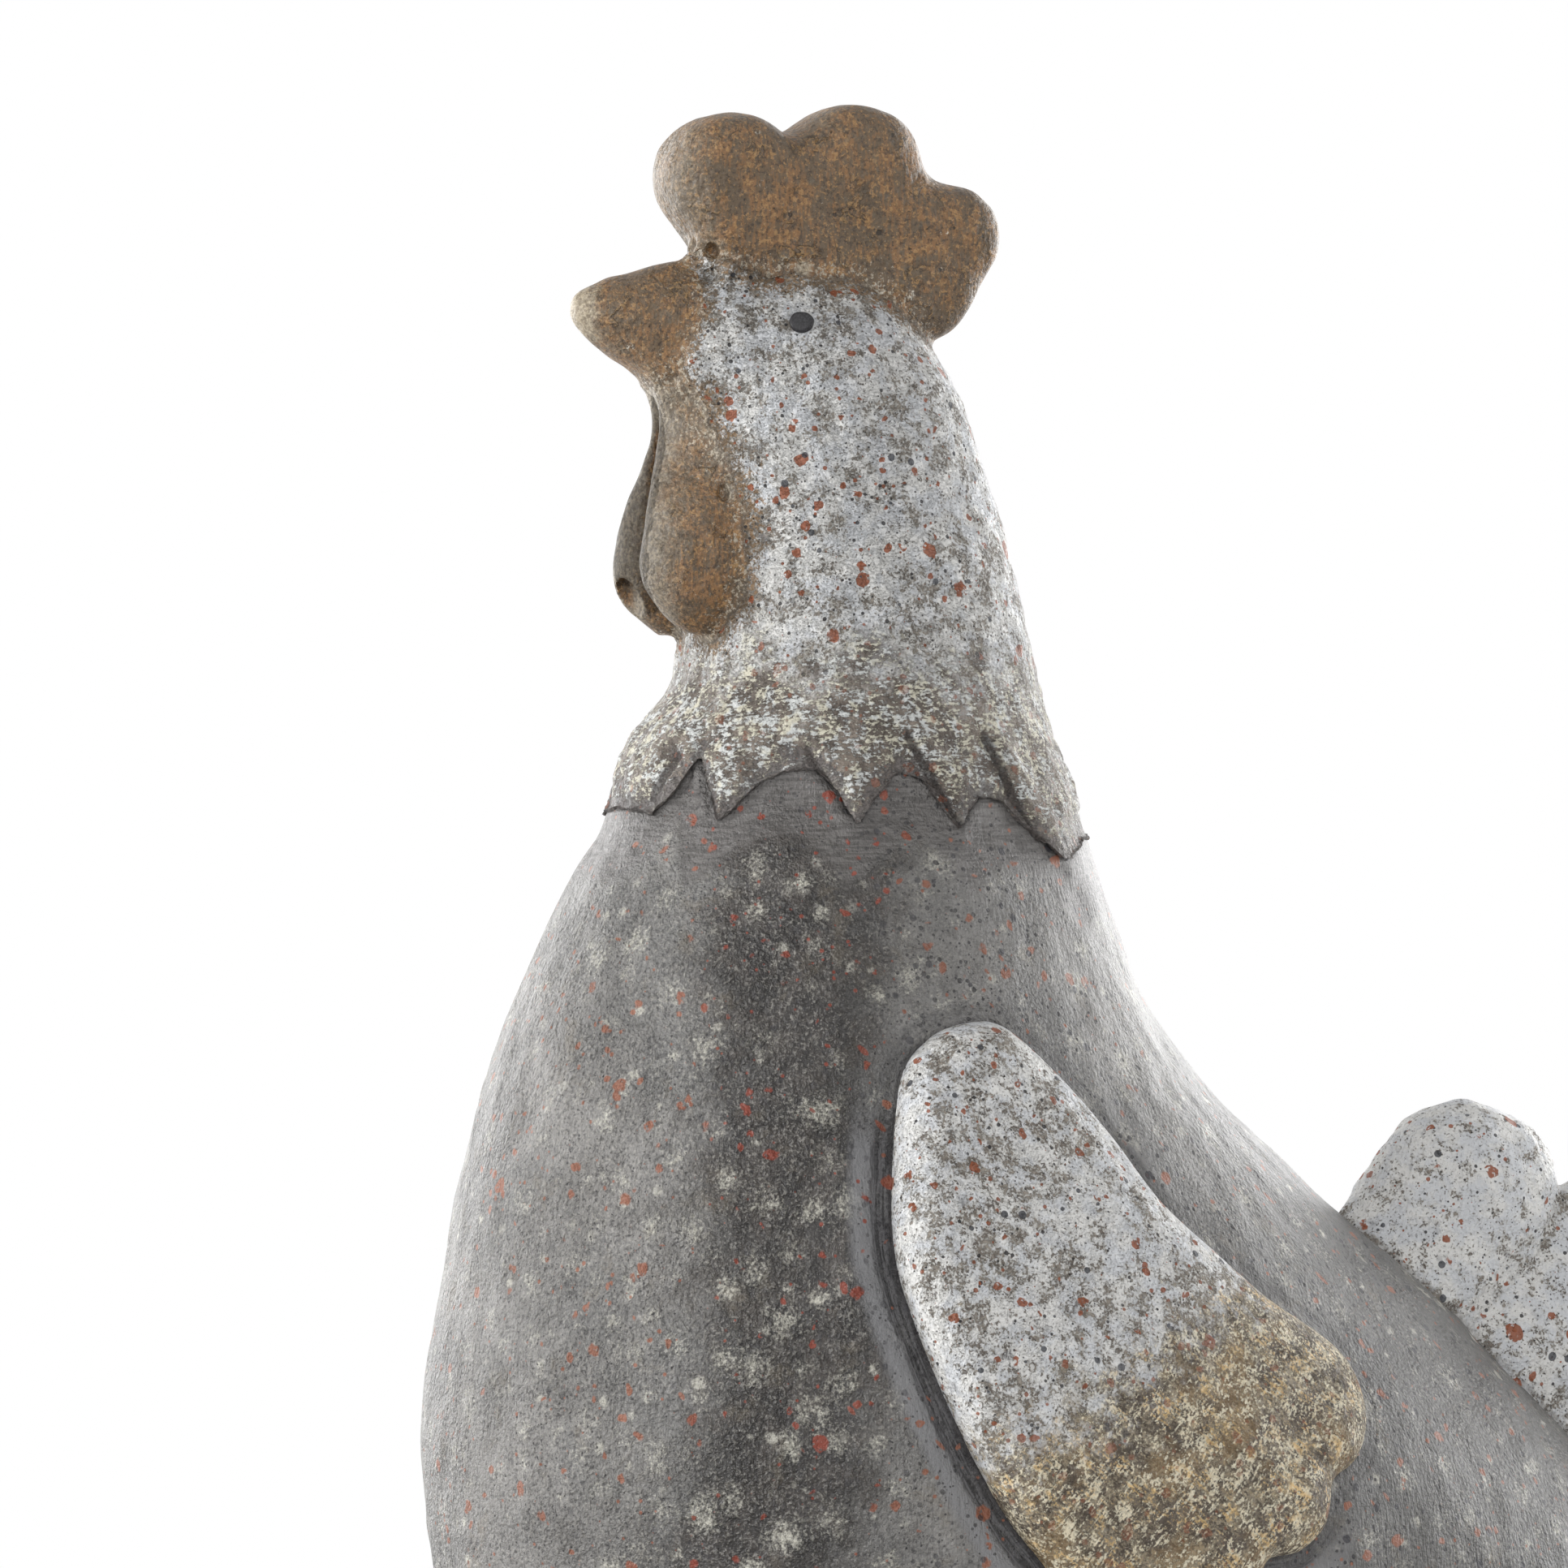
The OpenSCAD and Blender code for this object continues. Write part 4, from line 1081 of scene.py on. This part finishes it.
# How boxy the wing's rounded rim is: 2 is round
WING_BOX = 2.3
# The wing's edge goes this far into the body, and its bed lies this far under the body's surface
WING_SUNK = 2.5
WING_BED = 2.0
# Places on the wing that kept their white paint, in the photo's pixels, with radii in millimetres
WING_CLEAN = ((1353, 1504, 17.0), (1258, 1640, 13.0), (1435, 1490, 12.0))
WING_RINGS = 58
WING_RELIEF = ((34.0, 14.0, 6.5, 3.2), (1.1, 0.8, 0.6, 0.3))
# The brown lower part: the height where it begins, how far below that it is full, and its slant
WING_BROWN_TOP_Z = 180.0
WING_BROWN_FADE = 70.0
WING_BROWN_SLANT = 0.55
# A crease in the wing's lower end, seen from the side
WING_CREASE = np.array(((62, 108), (54, 114), (46, 121)), float)


def wing_rings(shares):
    """Places seen from the side on rings like the wing's outline, each a share of its size."""
    return (WING_MIDDLE + (WING_EDGE - WING_MIDDLE)[None] * np.array(shares)[:, None, None]).reshape(-1, 2)


def wing_piece(name, side):
    columns = len(WING_EDGE)
    inward = np.linspace(0, 1, WING_RINGS)[1:]
    flat = wing_rings([1.0, 1.0, *(1 - inward**1.35 * 0.985)])
    x, z = flat.T
    away = from_line(flat, WING_EDGE)
    away[: 2 * columns] = 0
    full = WING_T * (1 - (1 - np.clip(away / WING_RIM, 0, 1)) ** WING_BOX) ** (1 / WING_BOX)
    at = np.column_stack([x, np.full(len(flat), side * 40.0), z])
    relief = dents(at, *WING_RELIEF, 60 if side < 0 else 80)
    groove = hump(from_line(flat, WING_CREASE, closed=False), 1.8)
    rise = full + (relief - 0.8 * groove - 0.6) * ease(away / 5)
    rise[:columns] = -WING_SUNK
    low = ease((WING_BROWN_TOP_Z - z + (x - WING_MIDDLE[0]) * WING_BROWN_SLANT) / WING_BROWN_FADE)
    clean = ease((4.5 - away) / 4) * 0.8
    for px, py, radius in WING_CLEAN:
        middle = seen_on_figure(px, py)[[0, 2]]
        clean = np.maximum(clean, hump(np.linalg.norm(flat - middle, axis=1), radius))
    marks = np.column_stack([low, groove, clean]).reshape(-1, columns, 3)[::-1].reshape(-1, 3)
    top = np.column_stack([x, side * (side_y(x, z) + rise), z]).reshape(-1, columns, 3)[::-1].reshape(-1, 3)
    x, z = wing_rings(np.linspace(0.96, 0.02, 8)).T
    bed = np.column_stack([x, side * (side_y(x, z) - WING_BED), z])
    points = np.vstack([top, bed])
    faces = ring_faces(len(points) // columns, columns, closed=False)
    if side > 0:
        faces = [f[::-1] for f in faces]
    return add_mesh(name, points, faces, np.vstack([marks, np.zeros_like(bed)]))


# Head, comb, beak and wattles, as shares like those of the CAD source
COMB_LOBE_SHARES = ((-1.74, 0.93, 0.93), (0, 1.05, 1.0), (1.31, 0.22, 0.77))
COMB_ROOT_SHARES = ((-1.15, 0), (0, -0.25), (0.95, -0.5))
COMB_X = -NECK_REACH + NECK_LEN * 0.01
# How boxy the comb's edge is: 2 is round
COMB_BOX = 3.3
COMB_TRIM = 0.7
COMB_BLEND = 11.0
BEAK_ROW_SHARES = (
    (-0.6, -0.04, 0.42, 0.4), (-0.28, 0, 0.51, 0.5), (-0.04, 0.01, 0.475, 0.48), (0.2, 0.045, 0.42, 0.43),
    (0.44, 0.07, 0.35, 0.37), (0.65, 0.1, 0.275, 0.31), (0.83, 0.12, 0.195, 0.23),
    (0.95, 0.135, 0.12, 0.14), (0.995, 0.14, 0.055, 0.065),
)
BEAK_Z = CROWN_Z - BEAK_H * 0.52
BEAK_X = float(np.interp(BEAK_Z, FIGURE[:, 0], FIGURE[:, 1]))
WATTLE_ROW_SHARES = (
    (0, 0, 0.1, 0.5, 0.12, 0), (0.05, 0, 0.24, 0.5, 0.26, 0), (0.145, 0, 0.42, 0.5, 0.43, 0.02),
    (0.27, 0, 0.49, 0.505, 0.48, 0.03), (0.4, 0, 0.47, 0.5, 0.46, 0.06), (0.53, 0, 0.42, 0.46, 0.41, 0.12),
    (0.66, 0.01, 0.34, 0.38, 0.3, 0.2), (0.79, 0.01, 0.28, 0.31, 0.24, 0.18),
    (0.92, 0.05, 0.22, 0.26, 0.18, 0.1), (1, 0.1, 0.13, 0.22, 0.11, 0.04),
)
WATTLE_BASE_Z = CROWN_Z - BEAK_H * 0.82 - WATTLE_H
WATTLE_X = float(np.interp(WATTLE_BASE_Z + WATTLE_H * 0.3, FIGURE[:, 0], FIGURE[:, 1]))
# Places in the photo, in its own pixels, with radii in millimetres
LUMPS = (
    (851, 306, 2.3), (848, 318, 2.1), (862, 300, 2.0), (870, 318, 2.2), (898, 332, 2.5), (884, 325, 1.6),
    (912, 338, 1.2), (938, 345, 1.0), (1012, 352, 1.2), (1096, 372, 1.3),
)
HOLES = ((878, 309, 1.9), (876, 335, 1.5), (903, 341, 0.9), (857, 324, 0.9), (827, 468, 1.4), (902, 228, 0.9))
# The near wattle's pit and the far wattle's pocket, with radii along x, y and z
PITS = ((893, 605, 1.5, 2.0, 2.8), (773, 742, 4.5, 4.5, 7.0))
COMB_CRACKS = (
    ((975, 238), (968, 262), (957, 285), (965, 300), (983, 318), (990, 333)),
    ((1112, 216), (1070, 232), (1034, 246)),
    ((905, 300), (925, 322), (950, 334)),
)
WORN_SPOT = (991, 331)
MORTAR_SPOT = (866, 318)
BEAK_EDGE = ((840, 326), (844, 350), (845, 386), (834, 406), (821, 432), (820, 457), (836, 486))
# The box that holds these pieces, and the step of its grid
HEAD_BOX = ((-142, -67, 255), (30, 67, 494))
HEAD_STEP = 1.1
# The lowest brown paint of the beak
BEAK_PAINT_Z = 406.0
# Comb, beak and wattles are worn from here forward
WORN_FROM_X = -113.0
# The hackle's lower feathers, which are rough below this height
FEATHER_TOP_Z = 330.0
# Relief of all pieces, of the white and the brown ones, of the feathers and of the mortar
HEAD_RELIEF = ((40.0, 14.0), (0.9, 0.6))
WHITE_RELIEF = ((7.0, 3.5), (0.6, 0.35))
BROWN_RELIEF = ((12.0, 5.0), (0.7, 0.25))
FEATHER_RELIEF = ((4.0,), (0.5,))
MORTAR_RELIEF = ((3.0, 1.7), (0.7, 0.5))
# The form is set in by this much, so that dents and swells stay within the CAD model
HEAD_INSET = 0.5
# Fillets where the pieces meet. The wattles' grows by its second number above a height
BEAK_FILLET = 14.0
COMB_FILLET = 3.5
WATTLE_FILLET = (4.0, 9.0)
WATTLE_FILLET_Z = 398.0
LUMP_FILLET = 1.5
# The hackle's feathers: each line is the raised edge of one that lies over the one before it
FEATHER_EDGES = (
    ((838, 930), (812, 970), (789, 1020)),
    ((1000, 925), (1026, 966), (1046, 1008)),
    ((1124, 908), (1160, 965), (1190, 1018)),
    ((1218, 908), (1256, 980), (1302, 1058)),
)


def beak_distance(g):
    """How far the grid's points lie outside the beak."""
    table = table_of(sized(BEAK_ROW_SHARES, (-BEAK_X, 0, 0, 0), (BEAK_LEN, BEAK_H, BEAK_H, BEAK_W)))
    rise, half_h, half_w = (v[:, None, None] for v in read(table, -g.xs))
    distance = loft_distance(g.z - BEAK_Z - rise, g.y, half_h, half_w)
    ends = np.maximum(-g.x - table[-1, 0], table[0, 0] + g.x)
    return evened(np.maximum(distance, ends), g.step)


def wattle_distance(g):
    """How far the grid's points lie outside the left wattle."""
    reach = (WATTLE_H, WATTLE_W, WATTLE_W, WATTLE_T, WATTLE_T, WATTLE_T)
    table = table_of(sized(WATTLE_ROW_SHARES, (WATTLE_BASE_Z, 0, 0, 0, 0, 0), reach))
    ahead, half_x, aside, half_y, pale_and_lit_front = read(table, g.zs)
    u = g.x - (WATTLE_X - ahead)
    middle = aside + pale_and_lit_front * np.clip(u / half_x, -1, 1)
    distance = loft_distance(u, -g.y - middle, half_x, half_y)
    ends = np.maximum(g.z - table[-1, 0], table[0, 0] - g.z)
    return evened(np.maximum(distance, ends), g.step)


def comb_distance(g):
    """How far the grid's points lie outside the comb."""
    middle = np.array((COMB_X, CROWN_Z))
    lobes = []
    for (lobe_x, lobe_z, size), root in zip(COMB_LOBE_SHARES, COMB_ROOT_SHARES):
        start = middle + np.array((lobe_x, lobe_z)) * COMB_R
        level, across, radius = g.lobe(start, middle + np.array(root) * COMB_R, size * COMB_R, COMB_T)
        boxy = (level + COMB_TRIM) ** COMB_BOX + (across + OFF_MIDDLE) ** COMB_BOX
        lobes.append(boxy ** (1 / COMB_BOX) - radius)
    total = joined(joined(lobes[0], lobes[1], COMB_BLEND), lobes[2], COMB_BLEND)
    return evened(np.maximum(total, CROWN_Z - COMB_R * 1.4 - g.z), g.step)


def head_pieces():
    """Head and hackle, comb, beak and wattles, cut from one smooth form so that they meet without a gap."""
    g = Grid(*HEAD_BOX, HEAD_STEP)
    inset = (sink(g.zs) - CAPE_T - CAPE_GAP).astype(np.float32)
    head = np.maximum(g.figure(inset), g.z - (CROWN_Z - 1.0))
    beak = beak_distance(g)
    comb = comb_distance(g)
    wattle_left = wattle_distance(g)
    wattle_right = wattle_left[:, ::-1, :]
    fillet = (WATTLE_FILLET[0] + WATTLE_FILLET[1] * ease((g.zs - WATTLE_FILLET_Z) / 20)).astype(np.float32)
    face = joined(joined(head, beak, BEAK_FILLET), np.minimum(wattle_left, wattle_right), fillet)
    plain = joined(face, comb, COMB_FILLET)
    whole = plain
    for *pixel, radius in LUMPS:
        whole = joined(whole, g.ball(g.seen_on(plain, *pixel), [radius] * 3), LUMP_FILLET)
    for px, py, *radii in [(px, py, r, r, r) for px, py, r in HOLES] + list(PITS):
        whole = np.maximum(whole, -g.ball(g.seen_on(plain, px, py), radii))
    cracks = [np.array([g.seen_on(plain, *pixel) for pixel in line]) for line in COMB_CRACKS]
    worn_spot = g.seen_on(plain, *WORN_SPOT)
    mortar = g.seen_on(plain, *MORTAR_SPOT)
    holes = [(g.seen_on(plain, *pixel), radius) for *pixel, radius in HOLES]
    feathers = [side_line(line) for line in FEATHER_EDGES]
    beak_edge = side_line(BEAK_EDGE)

    # Which piece owns a place, with ragged paint lines
    coarse = np.stack(np.broadcast_arrays(g.x, g.y, g.z), -1)[::2, ::2, ::2]
    ragged = dents(coarse, (5.0, 2.6), (0.9, 0.6), 9).repeat(2, 0).repeat(2, 1).repeat(2, 2)
    ragged = ragged[: whole.shape[0], : whole.shape[1], : whole.shape[2]].astype(np.float32)
    face_only = np.minimum(head, beak)
    cut_comb = (comb - face) / 2 + ragged * 0.4 - 0.4
    cut_left, cut_right = (
        np.maximum((wattle - face_only) / 2 + ragged * 0.7 - 0.8, -cut_comb)
        for wattle in (wattle_left, wattle_right)
    )
    either = np.minimum(cut_left, cut_right)
    painted = np.maximum(behind_line(g.x, g.z, beak_edge).astype(np.float32) + ragged, BEAK_PAINT_Z - g.z)
    cut_beak = np.maximum(np.maximum(painted, -cut_comb), -either)
    cut_head = -np.minimum(np.minimum(cut_comb, either), cut_beak)

    # The hackle's hem, and the hollow within the head
    front, back, _, _ = read(FIGURE, g.zs)
    angle = np.arctan2(g.y, g.x - ((front + back) / 2).astype(np.float32))
    hem = (hem_height(angle) - g.z) * 0.8 + ragged * 0.8
    lap = g.zs < NECK_RIM_Z + BOND
    neck_inset = np.where(lap, sink(g.zs) - CAPE_GAP, WALL).astype(np.float32)
    hollow = np.maximum(g.figure(neck_inset), g.z - HOLLOW_TOP_Z)
    head_solid = np.maximum(np.maximum(whole, hem), -hollow)

    def made(name, solid, cut):
        at, places, out, quads = g.skin(whole, solid, cut)
        x, _, z = places.T
        from_white = sample(cut_head, at)
        brown = ease(0.5 + from_white / 3)
        seam = np.abs(from_white)
        rise = dents(places, *HEAD_RELIEF, 20)
        rise += (1 - brown) * dents(places, *WHITE_RELIEF, 30)
        rise += brown * dents(places, *BROWN_RELIEF, 33)
        off_beak = np.maximum(ease(behind_line(x, z, beak_edge) / 3), ease((BEAK_PAINT_Z - 2 - z) / 4))
        crease = hump(seam, 1.1) * off_beak
        feather_shade = np.zeros(len(at))
        tip = feather_shade
        worn = ease((WORN_FROM_X - x) / 14)
        if name == "head_and_hackle":
            from_hem = sample(hem, at)
            tip = hump(from_hem, 5.0)
            rise += ease((FEATHER_TOP_Z - z) / 25) * dents(places * (1, 1, 2.0), *FEATHER_RELIEF, 37)
            rise *= 1 - 0.7 * hump(from_hem, 7.0)
            rise -= 2.1 * hump(from_hem, 5.5)
            for line in feathers:
                over = behind_line(x, z, line)
                along = along_line(z, line)
                rise += along * 1.5 * hump(over, 8) * ease(0.5 + over / 1.6)
                rise -= along * 0.9 * hump(over + 1.4, 1.8)
                # Painted shade in the undercut just ahead of the raised edge
                feather_shade = np.maximum(feather_shade, along * hump(over + 0.8, 1.1))
        if name == "comb":
            wander = dents(places, (3.0, 1.6), (1.2, 0.8), 71)
            broken = ease(0.6 + dents(places, (4.0, 2.0), (0.7, 0.6), 74))
            for line in cracks:
                away = np.abs(from_line(places, line, closed=False) + wander)
                rise += broken * (0.5 * hump(away - 1.8, 1.0) - 0.7 * hump(away, 0.9))
                crease = np.maximum(crease, broken * hump(away, 0.8) * 0.9)
            worn = np.maximum(worn, hump(np.linalg.norm(places - worn_spot, axis=1), 3.2))
        for middle, radius in holes:
            crease = np.maximum(crease, hump(np.linalg.norm(places - middle, axis=1), radius) * 1.2)
        rough = hump(np.linalg.norm(places - mortar, axis=1), 5.5)
        rise += rough * dents(places, *MORTAR_RELIEF, 77)
        marks = np.column_stack([crease, np.maximum(worn, rough * 0.5), feather_shade])
        values = {"near": hump(seam, 3.4), "tip": tip}
        return add_mesh(name, places + out * (rise - HEAD_INSET)[:, None], quads, marks, values)

    cuts = {
        "head_and_hackle": cut_head, "comb": cut_comb, "beak": cut_beak,
        "wattle_left": cut_left, "wattle_right": cut_right,
    }
    return {name: made(name, head_solid if cut is cut_head else whole, cut) for name, cut in cuts.items()}


# Tail
TAIL_AT = np.array((RUMP_X - BODY_LEN * 0.242, BODY_H * 0.55))
TAIL_LOBE_SHARES = (
    ((1.13, 0.57, 0.96), (-0.1, -0.8)),
    ((2.75, -0.17, 1.03), (0.9, -1.5)),
    ((3.32, -1.57, 0.97), (1.4, -2.3)),
)
TAIL_NAMES = ("tail_lobe_upper", "tail_lobe_middle", "tail_lobe_lower")
TAIL_BOX = ((95, -27, 55), (243, 27, 218))
TAIL_STEP = 1.0
TAIL_RELIEF = ((30.0, 12.0, 5.5, 3.0), (1.0, 0.7, 0.5, 0.3))
TAIL_BLEND = 5.0
TAIL_SUNK = 2.5
TAIL_INSET = 0.8


def tail_pieces():
    """Three lobes, smoothly joined and cut apart where each meets the others."""
    g = Grid(*TAIL_BOX, TAIL_STEP)
    body = g.figure(0.0)
    lobes = []
    for (lobe_x, lobe_z, size), root in TAIL_LOBE_SHARES:
        start = TAIL_AT + np.array((lobe_x, lobe_z)) * TAIL_R
        level, across, radius = g.lobe(start, TAIL_AT + np.array(root) * TAIL_R, size * TAIL_R, TAIL_T)
        lobes.append(evened(np.sqrt(level**2 + across**2) - radius, g.step))
    whole = joined(joined(lobes[0], lobes[1], TAIL_BLEND), lobes[2], TAIL_BLEND)
    made = {}
    for i, name in enumerate(TAIL_NAMES):
        others = np.minimum.reduce(lobes[:i] + lobes[i + 1 :])
        cut = np.maximum(-(body + TAIL_SUNK), (lobes[i] - others) / 2)
        at, places, out, quads = g.skin(whole, whole, cut)
        rise = dents(places, *TAIL_RELIEF, 50)
        crease = np.maximum(hump(sample(body, at), 2.5), hump(sample(cut, at), 1.5) * 0.8)
        made[name] = add_mesh(name, places + out * (rise - TAIL_INSET)[:, None], quads, crease[:, None])
    return made


# Eyes
EYE_X = -NECK_REACH - NECK_LEN * 0.165
EYE_Z = CROWN_Z - HEAD_H * 0.137
EYE_RISE = 0.9
EYE_SHARES = (
    (0.0, 0.8), (0.35, 0.82), (0.6, 0.8), (0.8, 0.74), (0.92, 0.6), (0.985, 0.3), (1.0, 0.0), (0.99, -1.4),
)


def eye_piece(name, side):
    """A dab of thick dark paint, domed and slightly uneven."""
    across = side_y(EYE_X - 0.5, EYE_Z) - side_y(EYE_X + 0.5, EYE_Z)
    up = side_y(EYE_X, EYE_Z - 0.5) - side_y(EYE_X, EYE_Z + 0.5)
    out = np.array((across, 1.0, up))
    out = out / np.linalg.norm(out) * (1, side, 1)
    level = np.cross(out, (0, 0, 1))
    level /= np.linalg.norm(level)
    tall = np.cross(level, out)
    middle = np.array((EYE_X, side * side_y(EYE_X, EYE_Z), EYE_Z))
    turns = np.linspace(0, 2 * math.pi, 48, endpoint=False)
    flat = np.cos(turns)[:, None] * level + np.sin(turns)[:, None] * tall
    uneven = 1 + 0.05 * np.cos(2 * turns) + 0.02 * np.sin(3 * turns + side) + 0.012 * np.sin(7 * turns)
    rings = [
        middle + flat * (max(share, 0.02) * EYE_D / 2 * uneven)[:, None] + out * rise * EYE_RISE
        for share, rise in EYE_SHARES
    ]
    return add_mesh(name, np.vstack(rings), ring_faces(len(rings), len(turns), closed=False))


def make_camera():
    camera = bpy.data.objects.new("camera", bpy.data.cameras.new("camera"))
    camera.data.sensor_width = SENSOR
    camera.data.lens = SENSOR * VIEW_FROM / (PHOTO_SIDE * PIXEL)
    camera.data.clip_start = 0.1
    camera.data.clip_end = 50
    camera.location = (np.array(VIEW_AT) + TO_CAMERA * VIEW_FROM) * MM
    camera.rotation_euler = (math.pi / 2, 0, VIEW_TURN)
    bpy.context.scene.collection.objects.link(camera)
    bpy.context.scene.camera = camera


def add_light(name, rightward, ahead, height, power, size):
    """A soft square lamp that looks at the figure's middle and isn't seen itself.

    Rightward, ahead and height are metres as the camera sees them.
    """
    lamp = bpy.data.lights.new(name, "AREA")
    lamp.energy = power
    lamp.size = size
    made = bpy.data.objects.new(name, lamp)
    place = Vector(RIGHTWARD * rightward + TO_CAMERA * ahead) + Vector((0, 0, height))
    made.location = place
    made.rotation_mode = "QUATERNION"
    made.rotation_quaternion = (LAMP_AIM - place).to_track_quat("-Z", "Y")
    made.visible_camera = False
    bpy.context.scene.collection.objects.link(made)


# Rightward, ahead, height, power and size of each lamp
LAMPS = {
    "left_panel": (-2.2, 0.4, 0.8, 38, 0.9), "left_rim": (-1.4, -1.8, 0.5, 24, 1.4),
    "right_panel": (2.0, -0.9, 0.5, 25, 1.4), "right_rim": (1.25, -1.9, 0.75, 29, 1.4),
    "front_panel": (-0.3, 2.3, 1.6, 25, 1.8),
}
LAMP_AIM = Vector((0, 0, 0.28))
# How bright the surroundings are where they aren't seen directly
SURROUND_LIGHT = 0.37
FLOOR_REACH = 3.0
FLOOR_FADE = (0.45, 0.8)


def make_studio():
    """White surroundings, a pale floor that fades into them, and soft lamps."""
    scene = bpy.context.scene
    scene.view_settings.view_transform = "Standard"
    world = bpy.data.worlds.new("studio")
    scene.world = world
    world.use_nodes = True
    w = Nodes(world.node_tree)
    w.tree.nodes.clear()
    rays = w.node("ShaderNodeLightPath").outputs
    glancing = w.maths("MAXIMUM", rays["Is Glossy Ray"], rays["Is Transmission Ray"])
    direct = w.maths("MAXIMUM", rays["Is Camera Ray"], glancing)
    dim = w.node("ShaderNodeBackground", {"Color": WHITE_LIGHT, "Strength": SURROUND_LIGHT}).outputs[0]
    seen = w.node("ShaderNodeBackground", {"Color": WHITE_LIGHT, "Strength": 1.0}).outputs[0]
    chosen = w.node("ShaderNodeMixShader", {0: direct, 1: dim, 2: seen}).outputs[0]
    w.node("ShaderNodeOutputWorld", {0: chosen})
    for name, numbers in LAMPS.items():
        add_light(name, *numbers)

    floor = bpy.data.objects.new("floor", bpy.data.meshes.new("floor"))
    r = FLOOR_REACH
    floor.data.from_pydata([(-r, -r, 0), (r, -r, 0), (r, r, 0), (-r, r, 0)], [], [(0, 1, 2, 3)])
    scene.collection.objects.link(floor)
    p = Paint("floor_white")
    away = Value(p, p.node("ShaderNodeVectorMath", {0: p.place}, operation="LENGTH").outputs["Value"])
    fade = away.ramp(*FLOOR_FADE) * p.node("ShaderNodeLightPath").outputs["Is Camera Ray"]
    bright = p.node("ShaderNodeEmission", {"Color": WHITE_LIGHT, "Strength": 1.0}).outputs[0]
    blend = p.node("ShaderNodeMixShader", {0: fade, 1: p.shader.outputs[0], 2: bright}).outputs[0]
    p.put(p.shader.inputs["Base Color"], (0.86, 0.86, 0.86, 1))
    p.put(p.shader.inputs["Roughness"], 0.9)
    p.put(p.tree.nodes["Material Output"].inputs["Surface"], blend)
    floor.data.materials.append(p.material)


def paint_node(node, paint):
    """New paint for a CAD node that shows as it is."""
    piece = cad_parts[node]
    piece.data.materials.clear()
    piece.data.materials.append(paint)


make_camera()
make_studio()

dress(body_piece(), "body_grey", body_paint(), "body_shell_left", "body_shell_right")
white_wings = wing_paint()
for name, side in (("wing_left", -1), ("wing_right", 1)):
    dress(wing_piece(name, side), "wing_white", white_wings, name)
made = head_pieces()
dress(made["head_and_hackle"], "head_white", head_paint(), "head_and_hackle")
dress(made["comb"], "comb_brown", brown_paint("comb_brown", 0.42, (100, 84, 65), 0.55), "comb")
dress(made["beak"], "beak_brown", brown_paint("beak_brown", 0.5, (104, 86, 65), 0.65), "beak")
brown_wattles = brown_paint("wattle_brown", 0.45, (96, 80, 61), 0.95)
for name in ("wattle_left", "wattle_right"):
    dress(made[name], "wattle_brown", brown_wattles, name)
white_tail = tail_paint()
for name, piece in tail_pieces().items():
    dress(piece, "tail_white", white_tail, name)
black_eyes = eye_paint()
for name, side in (("eye_left", -1), ("eye_right", 1)):
    dress(eye_piece(name, side), "eye_black", black_eyes, name)
paint_node("base_plate", clay_paint())
paint_node("seam_tape", tape_paint())
steel = steel_paint()
for node in ("comb_rods", "face_rods", "wing_rods", "tail_rods"):
    paint_node(node, steel)
